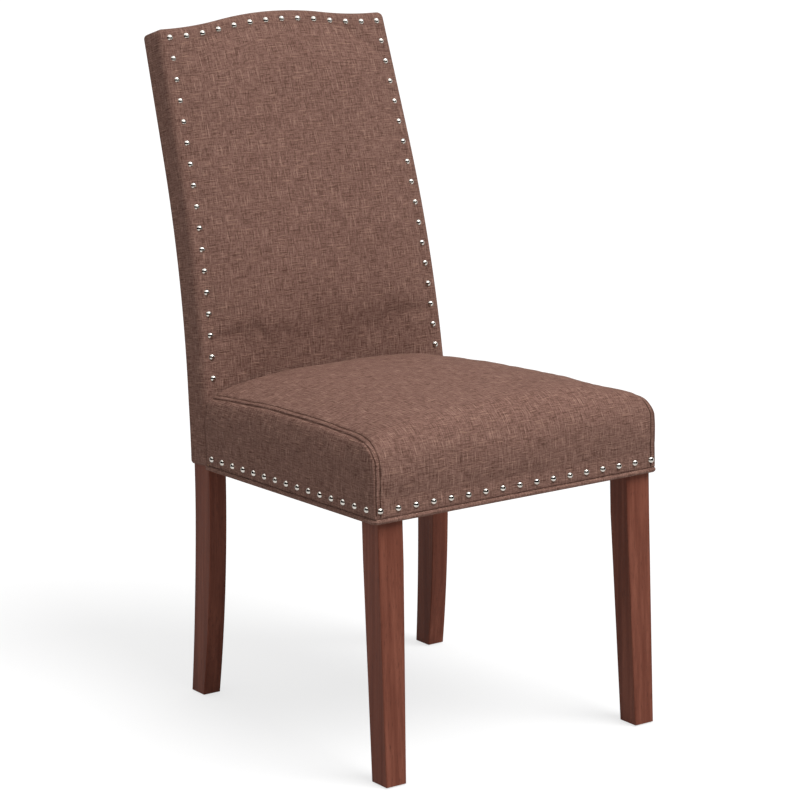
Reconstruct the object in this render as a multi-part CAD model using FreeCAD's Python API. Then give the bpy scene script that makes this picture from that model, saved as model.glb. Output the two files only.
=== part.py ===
import FreeCAD, Part
import math
import os

# Upholstered dining chair: a wooden frame with padded seat and back under woven cloth.
# X runs across the chair, Y from front to rear and Z up, with the floor at Z = 0.
# The chair faces -Y, and left is its -X side. Lengths are in mm and angles in degrees.
# The seat has a frame of its own, tilted by the seat's slope, with its origin on the
# centre line, at the front of the seat cloth and the underside of the front rail.

Vec = FreeCAD.Vector
ORIGIN = Vec(0, 0, 0)
ACROSS = Vec(1, 0, 0)
UP = Vec(0, 0, 1)

# Stance of the seat and back
seat_front_height = 375.0
seat_slope = 2.6
seat_width_front = 500.0
seat_width_rear = 451.0
seat_length = 456.0
waist_height = 262.0
back_bend_radius = 1709.0
back_rake = 18.6
back_run = 759.0
crest_rise = 15.0
crest_half_span = 186.0
back_corner_radius = 8.0

# Seat cushion, heights from the underside of the rails
seat_band_height = 42.0
seat_edge_height = 88.0
seat_side_height = 120.0
seat_rear_height = 110.0
seat_crown = 23.0
seat_front_bulge = 3.0
seat_shoulder_depth = 34.0
seat_shoulder_drop = 7.0
seat_rear_lean = 5.0
seat_side_round = 16.0
seat_side_drop = 9.0

# Shares that shape the seat: what crowns its shoulder and its front edge, where the
# round between them has its middle, and where along its length the seat is highest
shoulder_crown_share = 0.9
edge_crown_share = 0.35
round_depth_share = 0.3
round_rise_share = 0.6
high_point_share = 0.42

# Back cushion
back_pad_crown = 14.0
back_pad_margin = 22.0
back_pad_below_nails = 12.0
back_pad_above = 6.0
back_cover_bottom = 356.0
seat_tuck = 7.0

# Where the back's padding swells: share of its height, then share of its crown
back_pad_swell = [
    (0, 0.1), (0.12, 0.7), (0.35, 1.0), (0.65, 1.0), (0.88, 0.8), (0.96, 0.35), (1, -0.1)]

# Cloth and padding
cloth = 2.0
cloth_ease = 1.0
rail_wadding = 2.0
soft_clearance = 0.3
welt_diameter = 7.0
welt_corner_radius = 6.0
dust_cover_thickness = 0.8
dust_cover_inset = 8.0
dust_cover_gap = 1.0
backing_board_thickness = 1.0

# Front legs
front_leg_width = 42.0
front_leg_depth = 39.0
front_foot_width = 33.0
front_foot_depth = 35.0
front_leg_square_length = 60.0
front_leg_side_inset = 9.0
front_leg_front_inset = 5.5
front_foot_throw = 3.0
leg_edge_radius = 1.5
leg_allowance = 30.0

# Rear posts, their outer faces measured from the centre line
post_depth = 41.0
post_width = 30.0
post_foot_width = 29.0
post_foot_out = 224.5
post_seat_out = 217.5
post_top_out = 199.5
post_break_height = 450.0
rear_foot_kick = 17.0
rear_foot_depth = 33.5

# Rails
rail_height = 60.0
rail_thickness = 22.0
crest_rail_height = 70.0
back_rail_height = 55.0
back_rail_thickness = 22.0
middle_rail_run = 430.0
lower_rail_run = 232.0

# Fixings
dowel_diameter = 8.0
dowel_length = 30.0
dowel_spacing = 28.0
fit_clearance = 0.05
block_thickness = 22.0
block_height = 44.0
block_stand_off = 14.0
rear_block_stand_off = 20.0
screw_diameter = 4.0
screw_head_diameter = 8.0
screw_head_height = 2.5
screw_length = 28.0
screw_sink = 10.0
hole_overrun = 1.0
bolt_diameter = 8.0
bolt_in_leg = 28.0
bolt_end = 6.0
washer_diameter = 20.0
washer_thickness = 1.6
nut_across_flats = 13.0
nut_height = 6.5

# Straps
strap_width = 50.0
strap_thickness = 1.2
strap_grip = 18.0
back_strap_grip = 12.0
back_strap_thickness = 1.0
strap_ramp = 20.0
strap_pass = 2.0
seat_cross_strap_inset = 95.0
seat_long_strap_inset = 70.0
seat_long_straps = 3
seat_cross_straps = 3
back_straps = 4

# Nail trim
nail_head_diameter = 9.5
nail_head_height = 3.2
nail_shank_diameter = 1.6
nail_length = 10.0
back_nail_side_inset = 16.0
back_nail_top_inset = 12.5
back_column_nails = 16
back_row_nails = 14
back_column_bottom = 487.0
seat_nail_height = 18.5
seat_nail_end_inset = 10.0
seat_row_nails = 17
seat_side_nails = 15
seat_side_nails_front = 20.0
seat_side_nails_rear = 14.0

# Glides and staples
glide_diameter = 20.0
glide_thickness = 2.0
glide_pin_diameter = 2.4
glide_pin_length = 12.0
staple_crown = 10.0
staple_wire = 1.0
staple_leg = 8.0
staple_pitch = 75.0

# Values that follow from the sizes above
slope = math.radians(seat_slope)
back_setback = seat_length + soft_clearance
seat_rear_top = seat_front_height + seat_rear_height - seat_length * math.sin(slope)
padding_bottom = -seat_band_height / 4
rake = math.radians(back_rake)
seat_taper = (seat_width_front - seat_width_rear) / 2 / seat_length
arc_run = back_bend_radius * rake
shoulder_run = back_run - crest_rise
post_front = cloth + cloth_ease
post_rear = post_front + post_depth
board_rear = post_rear + backing_board_thickness
back_rear = board_rear + cloth
rail_inset = cloth + rail_wadding
rail_inside = rail_inset + rail_thickness
leg_out = seat_width_front / 2 - front_leg_side_inset
leg_in = leg_out - front_leg_width
leg_rear = front_leg_front_inset + front_leg_depth
rail_middle = rail_height / 2
beyond = 1500.0
high = 2 * waist_height + beyond
past_crest = back_run + 2 * crest_rise


def prism(points, direction):
    """Closed polygon through points, pushed along direction."""
    return Part.Face(Part.makePolygon(points + points[:1])).extrude(direction)


def block(x0, x1, y0, y1, z0, z1):
    return Part.makeBox(x1 - x0, y1 - y0, z1 - z0, Vec(x0, y0, z0))


def rod(start, direction, length, diameter):
    return Part.makeCylinder(diameter / 2, length, start, direction)


def arc(a, b, c):
    return Part.Arc(a, b, c).toShape()


def line(a, b):
    return Part.LineSegment(a, b).toShape()


def mirrored(shape):
    return shape.mirror(ORIGIN, ACROSS)


def group(shapes):
    return Part.makeCompound(shapes)


def seat_to_chair(shape):
    """Moves a shape from the seat's tilted frame to the chair's."""
    placed = shape.copy()
    placed.rotate(ORIGIN, ACROSS, -seat_slope)
    placed.translate(Vec(0, 0, seat_front_height))
    return placed


def chair_to_seat(point):
    """Moves a point from the chair's frame to the seat's tilted frame."""
    rise = point.z - seat_front_height
    return Vec(
        point.x,
        point.y * math.cos(slope) - rise * math.sin(slope),
        point.y * math.sin(slope) + rise * math.cos(slope),
    )


def on_back(x, depth, run):
    """Point at a depth behind the back's front cloth, at a run up it from the waist."""
    angle = min(run / back_bend_radius, rake)
    straight = max(run - arc_run, 0)
    radius = back_bend_radius - depth
    y = back_setback + back_bend_radius - radius * math.cos(angle)
    z = waist_height + radius * math.sin(angle)
    return Vec(x, y + straight * math.sin(rake), z + straight * math.cos(rake))


def back_normal(run):
    """Direction into the back, square to its front cloth."""
    angle = min(run / back_bend_radius, rake)
    return Vec(0, math.cos(angle), -math.sin(angle))


def run_at_height(height):
    """Run up the front cloth that reaches a height."""
    arc_top = waist_height + back_bend_radius * math.sin(rake)
    if height <= arc_top:
        return back_bend_radius * math.asin((height - waist_height) / back_bend_radius)
    return arc_run + (height - arc_top) / math.cos(rake)


def climb(depth, start, end):
    """Edges up the back at one depth, an arc and then a straight as far as they are met."""
    edges = []
    bend_end = min(end, arc_run)
    if start < bend_end:
        halfway = (start + bend_end) / 2
        edges.append(arc(*[on_back(0, depth, run) for run in (start, halfway, bend_end)]))
    if end > max(start, arc_run):
        edges.append(line(on_back(0, depth, max(start, arc_run)), on_back(0, depth, end)))
    return edges


def back_layer(front, rear, start, end):
    """Full-width layer of the back between two depths and two runs."""
    edges = climb(front, start, end) + climb(rear, start, end)
    for run in (start, end):
        edges.append(line(on_back(0, front, run), on_back(0, rear, run)))
    face = Part.Face(Part.Wire(Part.__sortEdges__(edges)))
    face.translate(Vec(-seat_width_front, 0, 0))
    return face.extrude(Vec(2 * seat_width_front, 0, 0))


def post_outer(height):
    """Distance of the posts' outer faces from the centre line."""
    if height < post_break_height:
        share = height / post_break_height
        return post_foot_out + (post_seat_out - post_foot_out) * share
    top_height = on_back(0, 0, shoulder_run).z
    share = (height - post_break_height) / (top_height - post_break_height)
    return post_seat_out + (post_top_out - post_seat_out) * share


def between_sides(offset, bottom, top):
    """Everything between the side faces of the posts, moved outwards by offset."""
    heights = [bottom, post_break_height, top]
    right = [Vec(post_outer(h) + offset, -beyond / 2, h) for h in heights]
    left = [Vec(-p.x, p.y, p.z) for p in reversed(right)]
    return prism(right + left, Vec(0, 2 * beyond, 0))


def crest_outline(inset):
    """Everything below the crest, moved down by inset, pushed square to the upper back."""
    low = shoulder_run - inset
    rise = crest_rise
    span = crest_half_span
    radius = (span ** 2 + rise ** 2) / (4 * rise)
    half_turn = math.asin(span / 2 / radius) / 2
    mid_x = span - radius * math.sin(half_turn)
    mid_rise = radius - radius * math.cos(half_turn)
    side = seat_width_front

    def at(x, up):
        return on_back(x, -beyond / 3, low + up)

    edges = [
        line(at(-side, 0), at(-span, 0)),
        arc(at(-span, 0), at(-mid_x, mid_rise), at(-span / 2, rise / 2)),
        arc(at(-span / 2, rise / 2), at(0, rise), at(span / 2, rise / 2)),
        arc(at(span / 2, rise / 2), at(mid_x, mid_rise), at(span, 0)),
        line(at(span, 0), at(side, 0)),
    ]
    foot = Vec(0, math.sin(rake), math.cos(rake)) * -beyond
    edges.append(line(at(side, 0), at(side, 0) + foot))
    edges.append(line(at(side, 0) + foot, at(-side, 0) + foot))
    edges.append(line(at(-side, 0) + foot, at(-side, 0)))
    return Part.Face(Part.Wire(edges)).extrude(back_normal(arc_run) * beyond)


def round_top_corners(shape, radius):
    """Rounds the two corners where the shoulders meet the sides."""
    normal = back_normal(arc_run)
    lift = Vec(0, math.sin(rake), math.cos(rake))
    highest = max(v.Point.dot(lift) for v in shape.Vertexes if abs(v.X) > crest_half_span)
    chosen = []
    for edge in shape.Edges:
        if len(edge.Vertexes) != 2:
            continue
        a, b = edge.Vertexes[0].Point, edge.Vertexes[1].Point
        along = abs((b - a).normalize().dot(normal)) > 0.99
        at_corner = min(a.dot(lift), b.dot(lift)) > highest - 1 and abs(a.x) > crest_half_span
        if along and at_corner:
            chosen.append(edge)
    return shape.makeFillet(radius, chosen)


def back_body(inset, front, rear, start):
    """Body of the back between two depths, inset all round from the outer cloth."""
    sides = between_sides(post_front - inset, waist_height, high)
    body = back_layer(front, rear, start, past_crest)
    body = body.common(sides).common(crest_outline(inset))
    return round_top_corners(body, back_corner_radius - inset)


def back_pad(inset):
    """Swell of the back's padding, as a loft up the back, inset from the outer cloth."""
    bottom = run_at_height(back_column_bottom) - back_pad_below_nails
    top = shoulder_run - back_nail_top_inset - back_pad_above
    height = top - bottom
    base = post_front + back_strap_thickness
    sections = []
    for share, swell in back_pad_swell:
        run = bottom + share * height
        middle = inset - swell * back_pad_crown
        half = post_outer(on_back(0, 0, run).z) + post_front - back_pad_margin - inset
        left = on_back(-half, base, run)
        right = on_back(half, base, run)
        edges = [arc(left, on_back(0, middle, run), right), line(right, left)]
        sections.append(Part.Wire(edges))
    return Part.makeLoft(sections, True)


def seat_half(y, inset):
    """Half the seat's width at y, inset from the outer face of its side panels."""
    return seat_width_front / 2 - inset - seat_taper * y


def seat_section(share, inset, side_inset, bottom):
    """Outline of the seat from front to rear, at a share of its half width."""
    crown = seat_crown * (1 - abs(share) ** 3)
    from_side = (1 - abs(share)) * seat_width_front / 2
    rolled = max(1 - from_side / seat_side_round, 0)
    crown -= seat_side_drop * (1 - math.sqrt(1 - rolled ** 2))

    def at(y, z):
        return Vec(share * seat_half(y, side_inset), y, z)

    front = inset
    shoulder = seat_side_height - seat_shoulder_drop + shoulder_crown_share * crown - inset
    edge = seat_edge_height + edge_crown_share * crown - inset
    rear_top = seat_rear_height + crown - inset
    rear = seat_length - inset
    low_front = at(front, bottom)
    band_top = at(front, seat_band_height)
    edge_start = at(front - seat_front_bulge / 3, edge)
    bulge = at(front - seat_front_bulge, (seat_band_height + edge) / 2)
    round_middle = at(round_depth_share * seat_shoulder_depth + inset,
                      edge + round_rise_share * (shoulder - edge))
    round_end = at(seat_shoulder_depth + inset, shoulder)
    top_middle = at(high_point_share * seat_length, seat_side_height + crown - inset)
    top_rear = at(rear + seat_rear_lean, rear_top)
    low_rear = at(rear, bottom)
    edges = [
        line(low_front, band_top),
        arc(band_top, bulge, edge_start),
        arc(edge_start, round_middle, round_end),
        arc(round_end, top_middle, top_rear),
        line(top_rear, low_rear),
        line(low_rear, low_front),
    ]
    return Part.Wire(edges)


def seat_form(inset, side_inset, bottom):
    """Crowned seat cushion between the planes of its two side seams."""
    round_share = 1 - 2 * seat_side_round / seat_width_front
    right = [0, 0.4, 0.75, round_share, (1 + round_share) / 2, (7 + round_share) / 8, 1]
    shares = [-share for share in reversed(right[1:])] + right
    sections = [seat_section(share, inset, side_inset, bottom) for share in shares]
    return Part.makeLoft(sections, True)


def footprint(inset, front, bottom, top):
    """Prism between the seat's sides, inset from their cloth, open past the back."""
    far = seat_length + 2 * back_rear
    outline = [
        Vec(-seat_half(front, inset), front, bottom),
        Vec(seat_half(front, inset), front, bottom),
        Vec(seat_half(far, inset), far, bottom),
        Vec(-seat_half(far, inset), far, bottom),
    ]
    return prism(outline, Vec(0, 0, top - bottom))


def make_post():
    """Left rear post: leg and back stile in one curved length."""
    waist_front = on_back(0, post_front, 0)
    waist_rear = on_back(0, post_rear, 0)
    foot_front = waist_front + Vec(0, rear_foot_kick, -waist_height)
    foot_rear = foot_front + Vec(0, rear_foot_depth, 0)

    def lower_arc(top, foot):
        kick = foot.y - top.y
        radius = (waist_height ** 2 + kick ** 2) / (2 * kick)
        fall = waist_height / 2
        middle = Vec(0, top.y + radius - math.sqrt(radius ** 2 - fall ** 2), top.z - fall)
        return arc(foot, middle, top)

    half_run = arc_run / 2
    edges = [
        lower_arc(waist_front, foot_front),
        arc(waist_front, on_back(0, post_front, half_run), on_back(0, post_front, arc_run)),
        line(on_back(0, post_front, arc_run), on_back(0, post_front, past_crest)),
        line(on_back(0, post_front, past_crest), on_back(0, post_rear, past_crest)),
        line(on_back(0, post_rear, past_crest), on_back(0, post_rear, arc_run)),
        arc(on_back(0, post_rear, arc_run), on_back(0, post_rear, half_run), waist_rear),
        lower_arc(waist_rear, foot_rear),
        line(foot_rear, foot_front),
    ]
    side = Part.Face(Part.Wire(edges))
    side.translate(Vec(-seat_width_front, 0, 0))
    profile = side.extrude(Vec(seat_width_front, 0, 0))
    outline = [Vec(-post_outer(h), -beyond / 2, h) for h in (0, post_break_height, high)]
    outline.append(Vec(-post_outer(high) + post_width, -beyond / 2, high))
    outline.append(Vec(-post_seat_out + post_width, -beyond / 2, post_break_height))
    outline.append(Vec(-post_foot_out + post_foot_width, -beyond / 2, 0))
    post = profile.common(prism(outline, Vec(0, 2 * beyond, 0)))
    long_edges = [e for e in post.Edges if e.BoundBox.ZLength > 2 * post_depth]
    post = post.makeFillet(leg_edge_radius, long_edges)
    post = post.common(crest_outline(cloth + cloth_ease))
    post = round_post_corner(post)
    return post.cut(block(-beyond, beyond, -beyond, beyond, -1, glide_thickness))


def round_post_corner(post):
    """Rounds the post's outer top corner to lie inside the cover's."""
    normal = back_normal(arc_run)
    radius = back_corner_radius
    corner = on_back(-post_outer(on_back(0, 0, shoulder_run).z), post_front, shoulder_run)
    lift = Vec(0, math.sin(rake), math.cos(rake))
    centre = corner + ACROSS * radius - lift * (radius + cloth + cloth_ease)
    start = centre - normal * post_depth
    side = ACROSS * (2 * radius)
    square = [start, start - side, start - side + lift * (2 * radius), start + lift * (2 * radius)]
    corner_bar = prism(square, normal * (3 * post_depth))
    return post.cut(corner_bar.cut(rod(start, normal, 3 * post_depth, 2 * radius)))


def rounded_rectangle(x0, x1, y0, y1, z, radius):
    """Level rectangle with rounded corners."""
    near = radius * (1 - math.sqrt(0.5))
    edges = []
    corners = [(x0, y0, 1, 1), (x1, y0, -1, 1), (x1, y1, -1, -1), (x0, y1, 1, -1)]
    ends = []
    for index, (x, y, in_x, in_y) in enumerate(corners):
        beside = Vec(x + in_x * radius, y, z)
        above = Vec(x, y + in_y * radius, z)
        first, last = (above, beside) if index % 2 == 0 else (beside, above)
        edges.append(arc(first, Vec(x + in_x * near, y + in_y * near, z), last))
        ends.append((first, last))
    for index in range(4):
        edges.insert(2 * index + 1, line(ends[index][1], ends[(index + 1) % 4][0]))
    return Part.Wire(edges)


def make_front_leg():
    """Left front leg in the seat's frame, square inside the rails and tapered below."""
    drop = -seat_front_height - leg_allowance
    front = front_leg_front_inset
    throw = front_foot_throw
    square = (-leg_out, -leg_in, front, leg_rear)
    foot = (-leg_out, -leg_out + front_foot_width, front - throw, front - throw + front_foot_depth)
    sections = [
        rounded_rectangle(*square, rail_height, leg_edge_radius),
        rounded_rectangle(*square, -front_leg_square_length, leg_edge_radius),
        rounded_rectangle(*foot, drop, leg_edge_radius),
    ]
    leg = seat_to_chair(Part.makeLoft(sections, True, True))
    return leg.cut(block(-beyond, beyond, -beyond, beyond, -beyond, glide_thickness))


def make_side_rail():
    """Left seat rail, from the front leg's rear face to the post."""
    strip = footprint(rail_inset, rail_inset, 0, rail_height)
    strip = strip.cut(footprint(rail_inside, 0, -1, rail_height + 1))
    strip = strip.common(block(-beyond, 0, leg_rear, beyond, -1, rail_height + 1))
    return seat_to_chair(strip).cut(back_layer(post_front, beyond / 3, 0, back_run))


def make_front_rail():
    return block(-leg_in, leg_in, rail_inset, rail_inside, 0, rail_height)


def rail_between_posts(thickness, slab):
    """Rail between the posts, cut by slab from the front layer of the back's frame."""
    layer = back_layer(post_front, post_front + thickness, 0, past_crest)
    inside = between_sides(-post_width, waist_height, high)
    return layer.common(inside).common(slab)


def back_slab(middle_run, height):
    """Slab across the back, square to its front cloth, centred on a run."""
    return back_layer(-beyond / 3, beyond / 3, middle_run - height / 2, middle_run + height / 2)


def make_crest_rail():
    low = on_back(0, 0, shoulder_run - crest_rail_height).z
    slab = block(-beyond, beyond, -beyond, beyond, low, low + beyond)
    rail = rail_between_posts(back_rail_thickness, slab)
    return rail.common(crest_outline(cloth + cloth_ease))


def bar_block(corner, turn_y, stand_off):
    """Bar across a corner of the seat frame at 45 degrees, in the seat's frame."""
    reach = seat_half(0, 0) - abs(corner.x) + rail_thickness
    near = stand_off * math.sqrt(2)
    far = (stand_off + block_thickness) * math.sqrt(2)
    wide = seat_width_front
    outline = [
        corner + Vec(near + wide, -turn_y * wide, 0),
        corner + Vec(far + wide, -turn_y * wide, 0),
        corner + Vec(-reach, turn_y * (far + reach), 0),
        corner + Vec(-reach, turn_y * (near + reach), 0),
    ]
    low = (rail_height - block_height) / 2
    return prism([p + Vec(0, 0, low) for p in outline], Vec(0, 0, block_height))


def screw_at(head, direction):
    """Countersunk wood screw from the centre of its head along direction."""
    cone = Part.makeCone(screw_head_diameter / 2, screw_diameter / 2, screw_head_height,
                         head, direction)
    shank = rod(head + direction * screw_head_height, direction,
                screw_length - screw_head_height, screw_diameter)
    return cone.fuse(shank).removeSplitter()


def screw_clearance(head, direction):
    """Room for a screw and the driver's way to its head."""
    start = head - direction * screw_length
    way = rod(start, direction, screw_length, screw_head_diameter + 2 * fit_clearance)
    cone = Part.makeCone(screw_head_diameter / 2 + fit_clearance,
                         screw_diameter / 2 + fit_clearance, screw_head_height, head, direction)
    shank = rod(head + direction * screw_head_height, direction,
                screw_length - screw_head_height + hole_overrun, screw_diameter + 2 * fit_clearance)
    return way.fuse(cone).fuse(shank)


def hexagon_nut(centre, direction):
    """Plain nut with its bolt hole, standing on centre."""
    radius = nut_across_flats / math.sqrt(3)
    corners = []
    for index in range(6):
        angle = math.radians(60 * index)
        corners.append(Vec(radius * math.cos(angle), radius * math.sin(angle), 0))
    nut = prism(corners, Vec(0, 0, nut_height))
    nut = nut.cut(rod(Vec(0, 0, -1), UP, nut_height + 2, bolt_diameter + 2 * fit_clearance))
    nut.Placement = FreeCAD.Placement(centre, FreeCAD.Rotation(UP, direction))
    return nut


def nail_at(point, inward):
    """Domed nail: head on the cloth at point, shank running inward."""
    radius = nail_head_diameter / 2
    shank = nail_shank_diameter / 2
    point_length = 2 * nail_shank_diameter
    sphere = (radius ** 2 + nail_head_height ** 2) / (2 * nail_head_height)
    half_angle = math.asin(radius / sphere) / 2
    on_dome = Vec(sphere * math.sin(half_angle), 0,
                  nail_head_height - sphere + sphere * math.cos(half_angle))
    edges = [
        arc(Vec(0, 0, nail_head_height), on_dome, Vec(radius, 0, 0)),
        line(Vec(radius, 0, 0), Vec(shank, 0, 0)),
        line(Vec(shank, 0, 0), Vec(shank, 0, point_length - nail_length)),
        line(Vec(shank, 0, point_length - nail_length), Vec(0, 0, -nail_length)),
        line(Vec(0, 0, -nail_length), Vec(0, 0, nail_head_height)),
    ]
    nail = Part.Face(Part.Wire(edges)).revolve(ORIGIN, UP, 360)
    outward = inward * -1
    nail.Placement = FreeCAD.Placement(point, FreeCAD.Rotation(UP, outward))
    return nail


def nail_hole(point, inward):
    start = point - inward * nail_head_height
    depth = nail_head_height + nail_length + fit_clearance
    return rod(start, inward, depth, nail_shank_diameter + 2 * fit_clearance)


def spread(first, last, count):
    """Evenly spaced values from first to last."""
    return [first + (last - first) * index / (count - 1) for index in range(count)]


def back_nail_places():
    """Places of the back's nails: the top row, and the left column below its corner."""
    corner_run = shoulder_run - back_nail_top_inset
    half_row = post_outer(on_back(0, 0, corner_run).z) + post_front - back_nail_side_inset
    radius = (crest_half_span ** 2 + crest_rise ** 2) / (4 * crest_rise)
    row = []
    for x in spread(-half_row, half_row, back_row_nails):
        if abs(x) > crest_half_span / 2:
            from_end = max(crest_half_span - abs(x), 0)
            lift = radius - math.sqrt(radius ** 2 - from_end ** 2)
        else:
            lift = crest_rise - radius + math.sqrt(radius ** 2 - x ** 2)
        run = corner_run + lift
        row.append((on_back(x, -soft_clearance, run), back_normal(run)))
    column = []
    bottom_run = run_at_height(back_column_bottom)
    for run in spread(corner_run, bottom_run, back_column_nails + 1)[1:]:
        x = -(post_outer(on_back(0, 0, run).z) + post_front - back_nail_side_inset)
        column.append((on_back(x, -soft_clearance, run), back_normal(run)))
    return row, column


def seat_nail_places():
    """Places of the seat's nails, in the seat's frame: the front row and the left row."""
    half_row = seat_width_front / 2 - seat_nail_end_inset
    front = []
    for x in spread(-half_row, half_row, seat_row_nails):
        front.append((Vec(x, -soft_clearance, seat_nail_height), Vec(0, 1, 0)))
    inward = Vec(1, -seat_taper, 0).normalize()
    side = []
    for y in spread(seat_side_nails_front, seat_length - seat_side_nails_rear, seat_side_nails):
        place = Vec(-seat_half(y, 0), y, seat_nail_height) - inward * soft_clearance
        side.append((place, inward))
    return front, side


def to_chair(places):
    """Nail places moved from the seat's frame to the chair's."""
    turn = FreeCAD.Rotation(ACROSS, -seat_slope)
    lift = Vec(0, 0, seat_front_height)
    return [(turn.multVec(point) + lift, turn.multVec(inward)) for point, inward in places]


def mirror_places(places):
    """The same places and directions on the chair's other side."""
    return [(Vec(-p.x, p.y, p.z), Vec(-d.x, d.y, d.z)) for p, d in places]


def dowel_pair(centre, direction, apart):
    """Two dowels across a joint, centred on it."""
    dowels = []
    for side in (-0.5, 0.5):
        start = centre + apart * (side * dowel_spacing) - direction * (dowel_length / 2)
        dowels.append((start, direction))
    return dowels


def dowel_solids(places):
    return [rod(start, direction, dowel_length, dowel_diameter) for start, direction in places]


def dowel_holes(places):
    holes = []
    for start, direction in places:
        holes.append(rod(start - direction * hole_overrun, direction,
                         dowel_length + 2 * hole_overrun,
                         dowel_diameter + 2 * fit_clearance))
    return holes


def make_glide(foot):
    """Nylon floor glide with its pin, under a foot centred on foot."""
    disc = rod(Vec(foot.x, foot.y, 0), UP, glide_thickness, glide_diameter)
    pin = rod(Vec(foot.x, foot.y, 0), UP, glide_thickness + glide_pin_length, glide_pin_diameter)
    return disc.fuse(pin).removeSplitter()


def make_staple(place, along):
    """Staple under the dust cover, its crown along a direction and its legs up."""
    half = staple_crown / 2
    thin = staple_wire / 2
    drop = dust_cover_thickness + staple_wire
    crown = block(-half, half, -thin, thin, -drop, -dust_cover_thickness)
    left_leg = block(-half, -half + staple_wire, -thin, thin, -drop, staple_leg)
    right_leg = block(half - staple_wire, half, -thin, thin, -drop, staple_leg)
    staple = crown.fuse([left_leg, right_leg]).removeSplitter()
    staple.Placement = FreeCAD.Placement(place, FreeCAD.Rotation(ACROSS, along))
    return staple


def woven_strap(x, starts_over, cross_places, front, rear):
    """Lengthwise strap that passes over and under the crosswise ones."""
    half = strap_width / 2
    level = rail_height
    route = [(front, level)]
    over = starts_over
    for y in cross_places:
        height = level + strap_thickness if over else level - strap_thickness
        route.append((y - half - strap_pass, height))
        route.append((y + half + strap_pass, height))
        over = not over
    last_y, last_height = route[-1]
    route.insert(1, (route[1][0] - strap_ramp, level))
    route.append((last_y + strap_ramp, level))
    route.append((rear, level))
    lower = [Vec(x - half, y, z) for y, z in route]
    upper = [p + Vec(0, 0, strap_thickness) for p in reversed(lower)]
    return prism(lower + upper, Vec(strap_width, 0, 0))


def crosswise_strap(y):
    """Strap from side rail to side rail, in the seat's frame."""
    half = seat_half(y, rail_inside) + strap_grip
    front = y - strap_width / 2
    rear = y + strap_width / 2
    return block(-half, half, front, rear, rail_height, rail_height + strap_thickness)


def back_strap(run):
    """Strap from post to post across the front of the back's frame."""
    layer = back_layer(post_front - back_strap_thickness, post_front, 0, back_run)
    reach = between_sides(back_strap_grip - post_width, waist_height, high)
    return layer.common(reach).common(back_slab(run, strap_width))


def make_welt():
    """Piping round the bottom edge of the seat's front and sides, in the seat's frame."""
    radius = welt_diameter / 2
    centre = rail_inset - radius - 2 * fit_clearance
    turn = welt_corner_radius
    half_front = seat_half(centre, centre)
    side = Vec(-seat_taper, -1, 0).normalize()
    corner = Vec(-half_front, centre, radius)
    after = corner + Vec(turn, 0, 0)
    before = corner - side * turn
    rear = Vec(-seat_half(seat_length, centre), seat_length, radius)
    bend_share = 1 - math.sqrt(0.5)
    bend = corner + (after - corner + before - corner) * bend_share
    edges = [line(rear, before), arc(before, bend, after), line(after, mirror_point(after))]
    edges.append(arc(mirror_point(after), mirror_point(bend), mirror_point(before)))
    edges.append(line(mirror_point(before), mirror_point(rear)))
    ring = Part.Wire(Part.makeCircle(radius, rear, (before - rear).normalize()))
    return Part.Wire(edges).makePipeShell([ring], True, False)


def mirror_point(point):
    return Vec(-point.x, point.y, point.z)


def staple_places():
    """Places of the staples in the seat's frame, with the direction of each crown."""
    middle = rail_inset + rail_thickness / 2
    rear_row = frame_rear + rail_thickness / 2
    reach = leg_in - staple_pitch / 2
    across = round(2 * reach / staple_pitch) + 1
    along = round((frame_rear - leg_rear) / staple_pitch)
    places = []
    for x in spread(-reach, reach, across):
        places.append((Vec(x, middle, 0), ACROSS))
    rear_reach = post_seat_out - post_width - staple_pitch / 3
    for x in spread(-rear_reach, rear_reach, across):
        places.append((Vec(x, rear_row, 0), ACROSS))
    gap = staple_pitch / 3
    for y in spread(leg_rear + gap, frame_rear - gap, along):
        x = seat_half(y, middle)
        places.append((Vec(-x, y, 0), Vec(seat_taper, 1, 0)))
        places.append((Vec(x, y, 0), Vec(-seat_taper, 1, 0)))
    return places


def make_dust_cover():
    """Thin cloth closing the seat's underside, cut round the legs and posts."""
    inset = rail_inset + dust_cover_inset
    rear = frame_rear + rail_thickness - dust_cover_inset
    sheet = footprint(inset, inset, -dust_cover_thickness, 0)
    sheet = sheet.common(block(-beyond, beyond, 0, rear, -1, 1))
    gap = dust_cover_gap
    leg = block(-leg_out - gap, -leg_in + gap, 0, leg_rear + gap, -1, 1)
    inner = post_seat_out - post_width - gap
    post = block(-beyond, -inner, frame_rear - gap, beyond, -1, 1)
    return sheet.cut([leg, mirrored(leg), post, mirrored(post)])


# Where the posts' front faces meet the seat rails, in the seat's frame
frame_rear = chair_to_seat(on_back(0, post_front, run_at_height(seat_front_height))).y

nodes = {}

# Nails
row_places, left_column = back_nail_places()
right_column = mirror_places(left_column)
front_in_seat, left_in_seat = seat_nail_places()
front_places = to_chair(front_in_seat)
left_places = to_chair(left_in_seat)
right_places = mirror_places(left_places)
nail_rows = {
    "back_nails_top": row_places,
    "back_nails_left": left_column,
    "back_nails_right": right_column,
    "seat_nails_front": front_places,
    "seat_nails_left": left_places,
    "seat_nails_right": right_places,
}
for name, places in nail_rows.items():
    nodes[name] = group([nail_at(point, inward) for point, inward in places])
back_holes = {
    side: [nail_hole(*place) for place in row_places + column]
    for side, column in (("left", left_column), ("right", right_column))
}
row_holes = [nail_hole(*place) for place in row_places]
front_holes = [nail_hole(*place) for place in front_places]
side_holes = {
    "left": [nail_hole(*place) for place in left_places],
    "right": [nail_hole(*place) for place in right_places],
}

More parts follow.
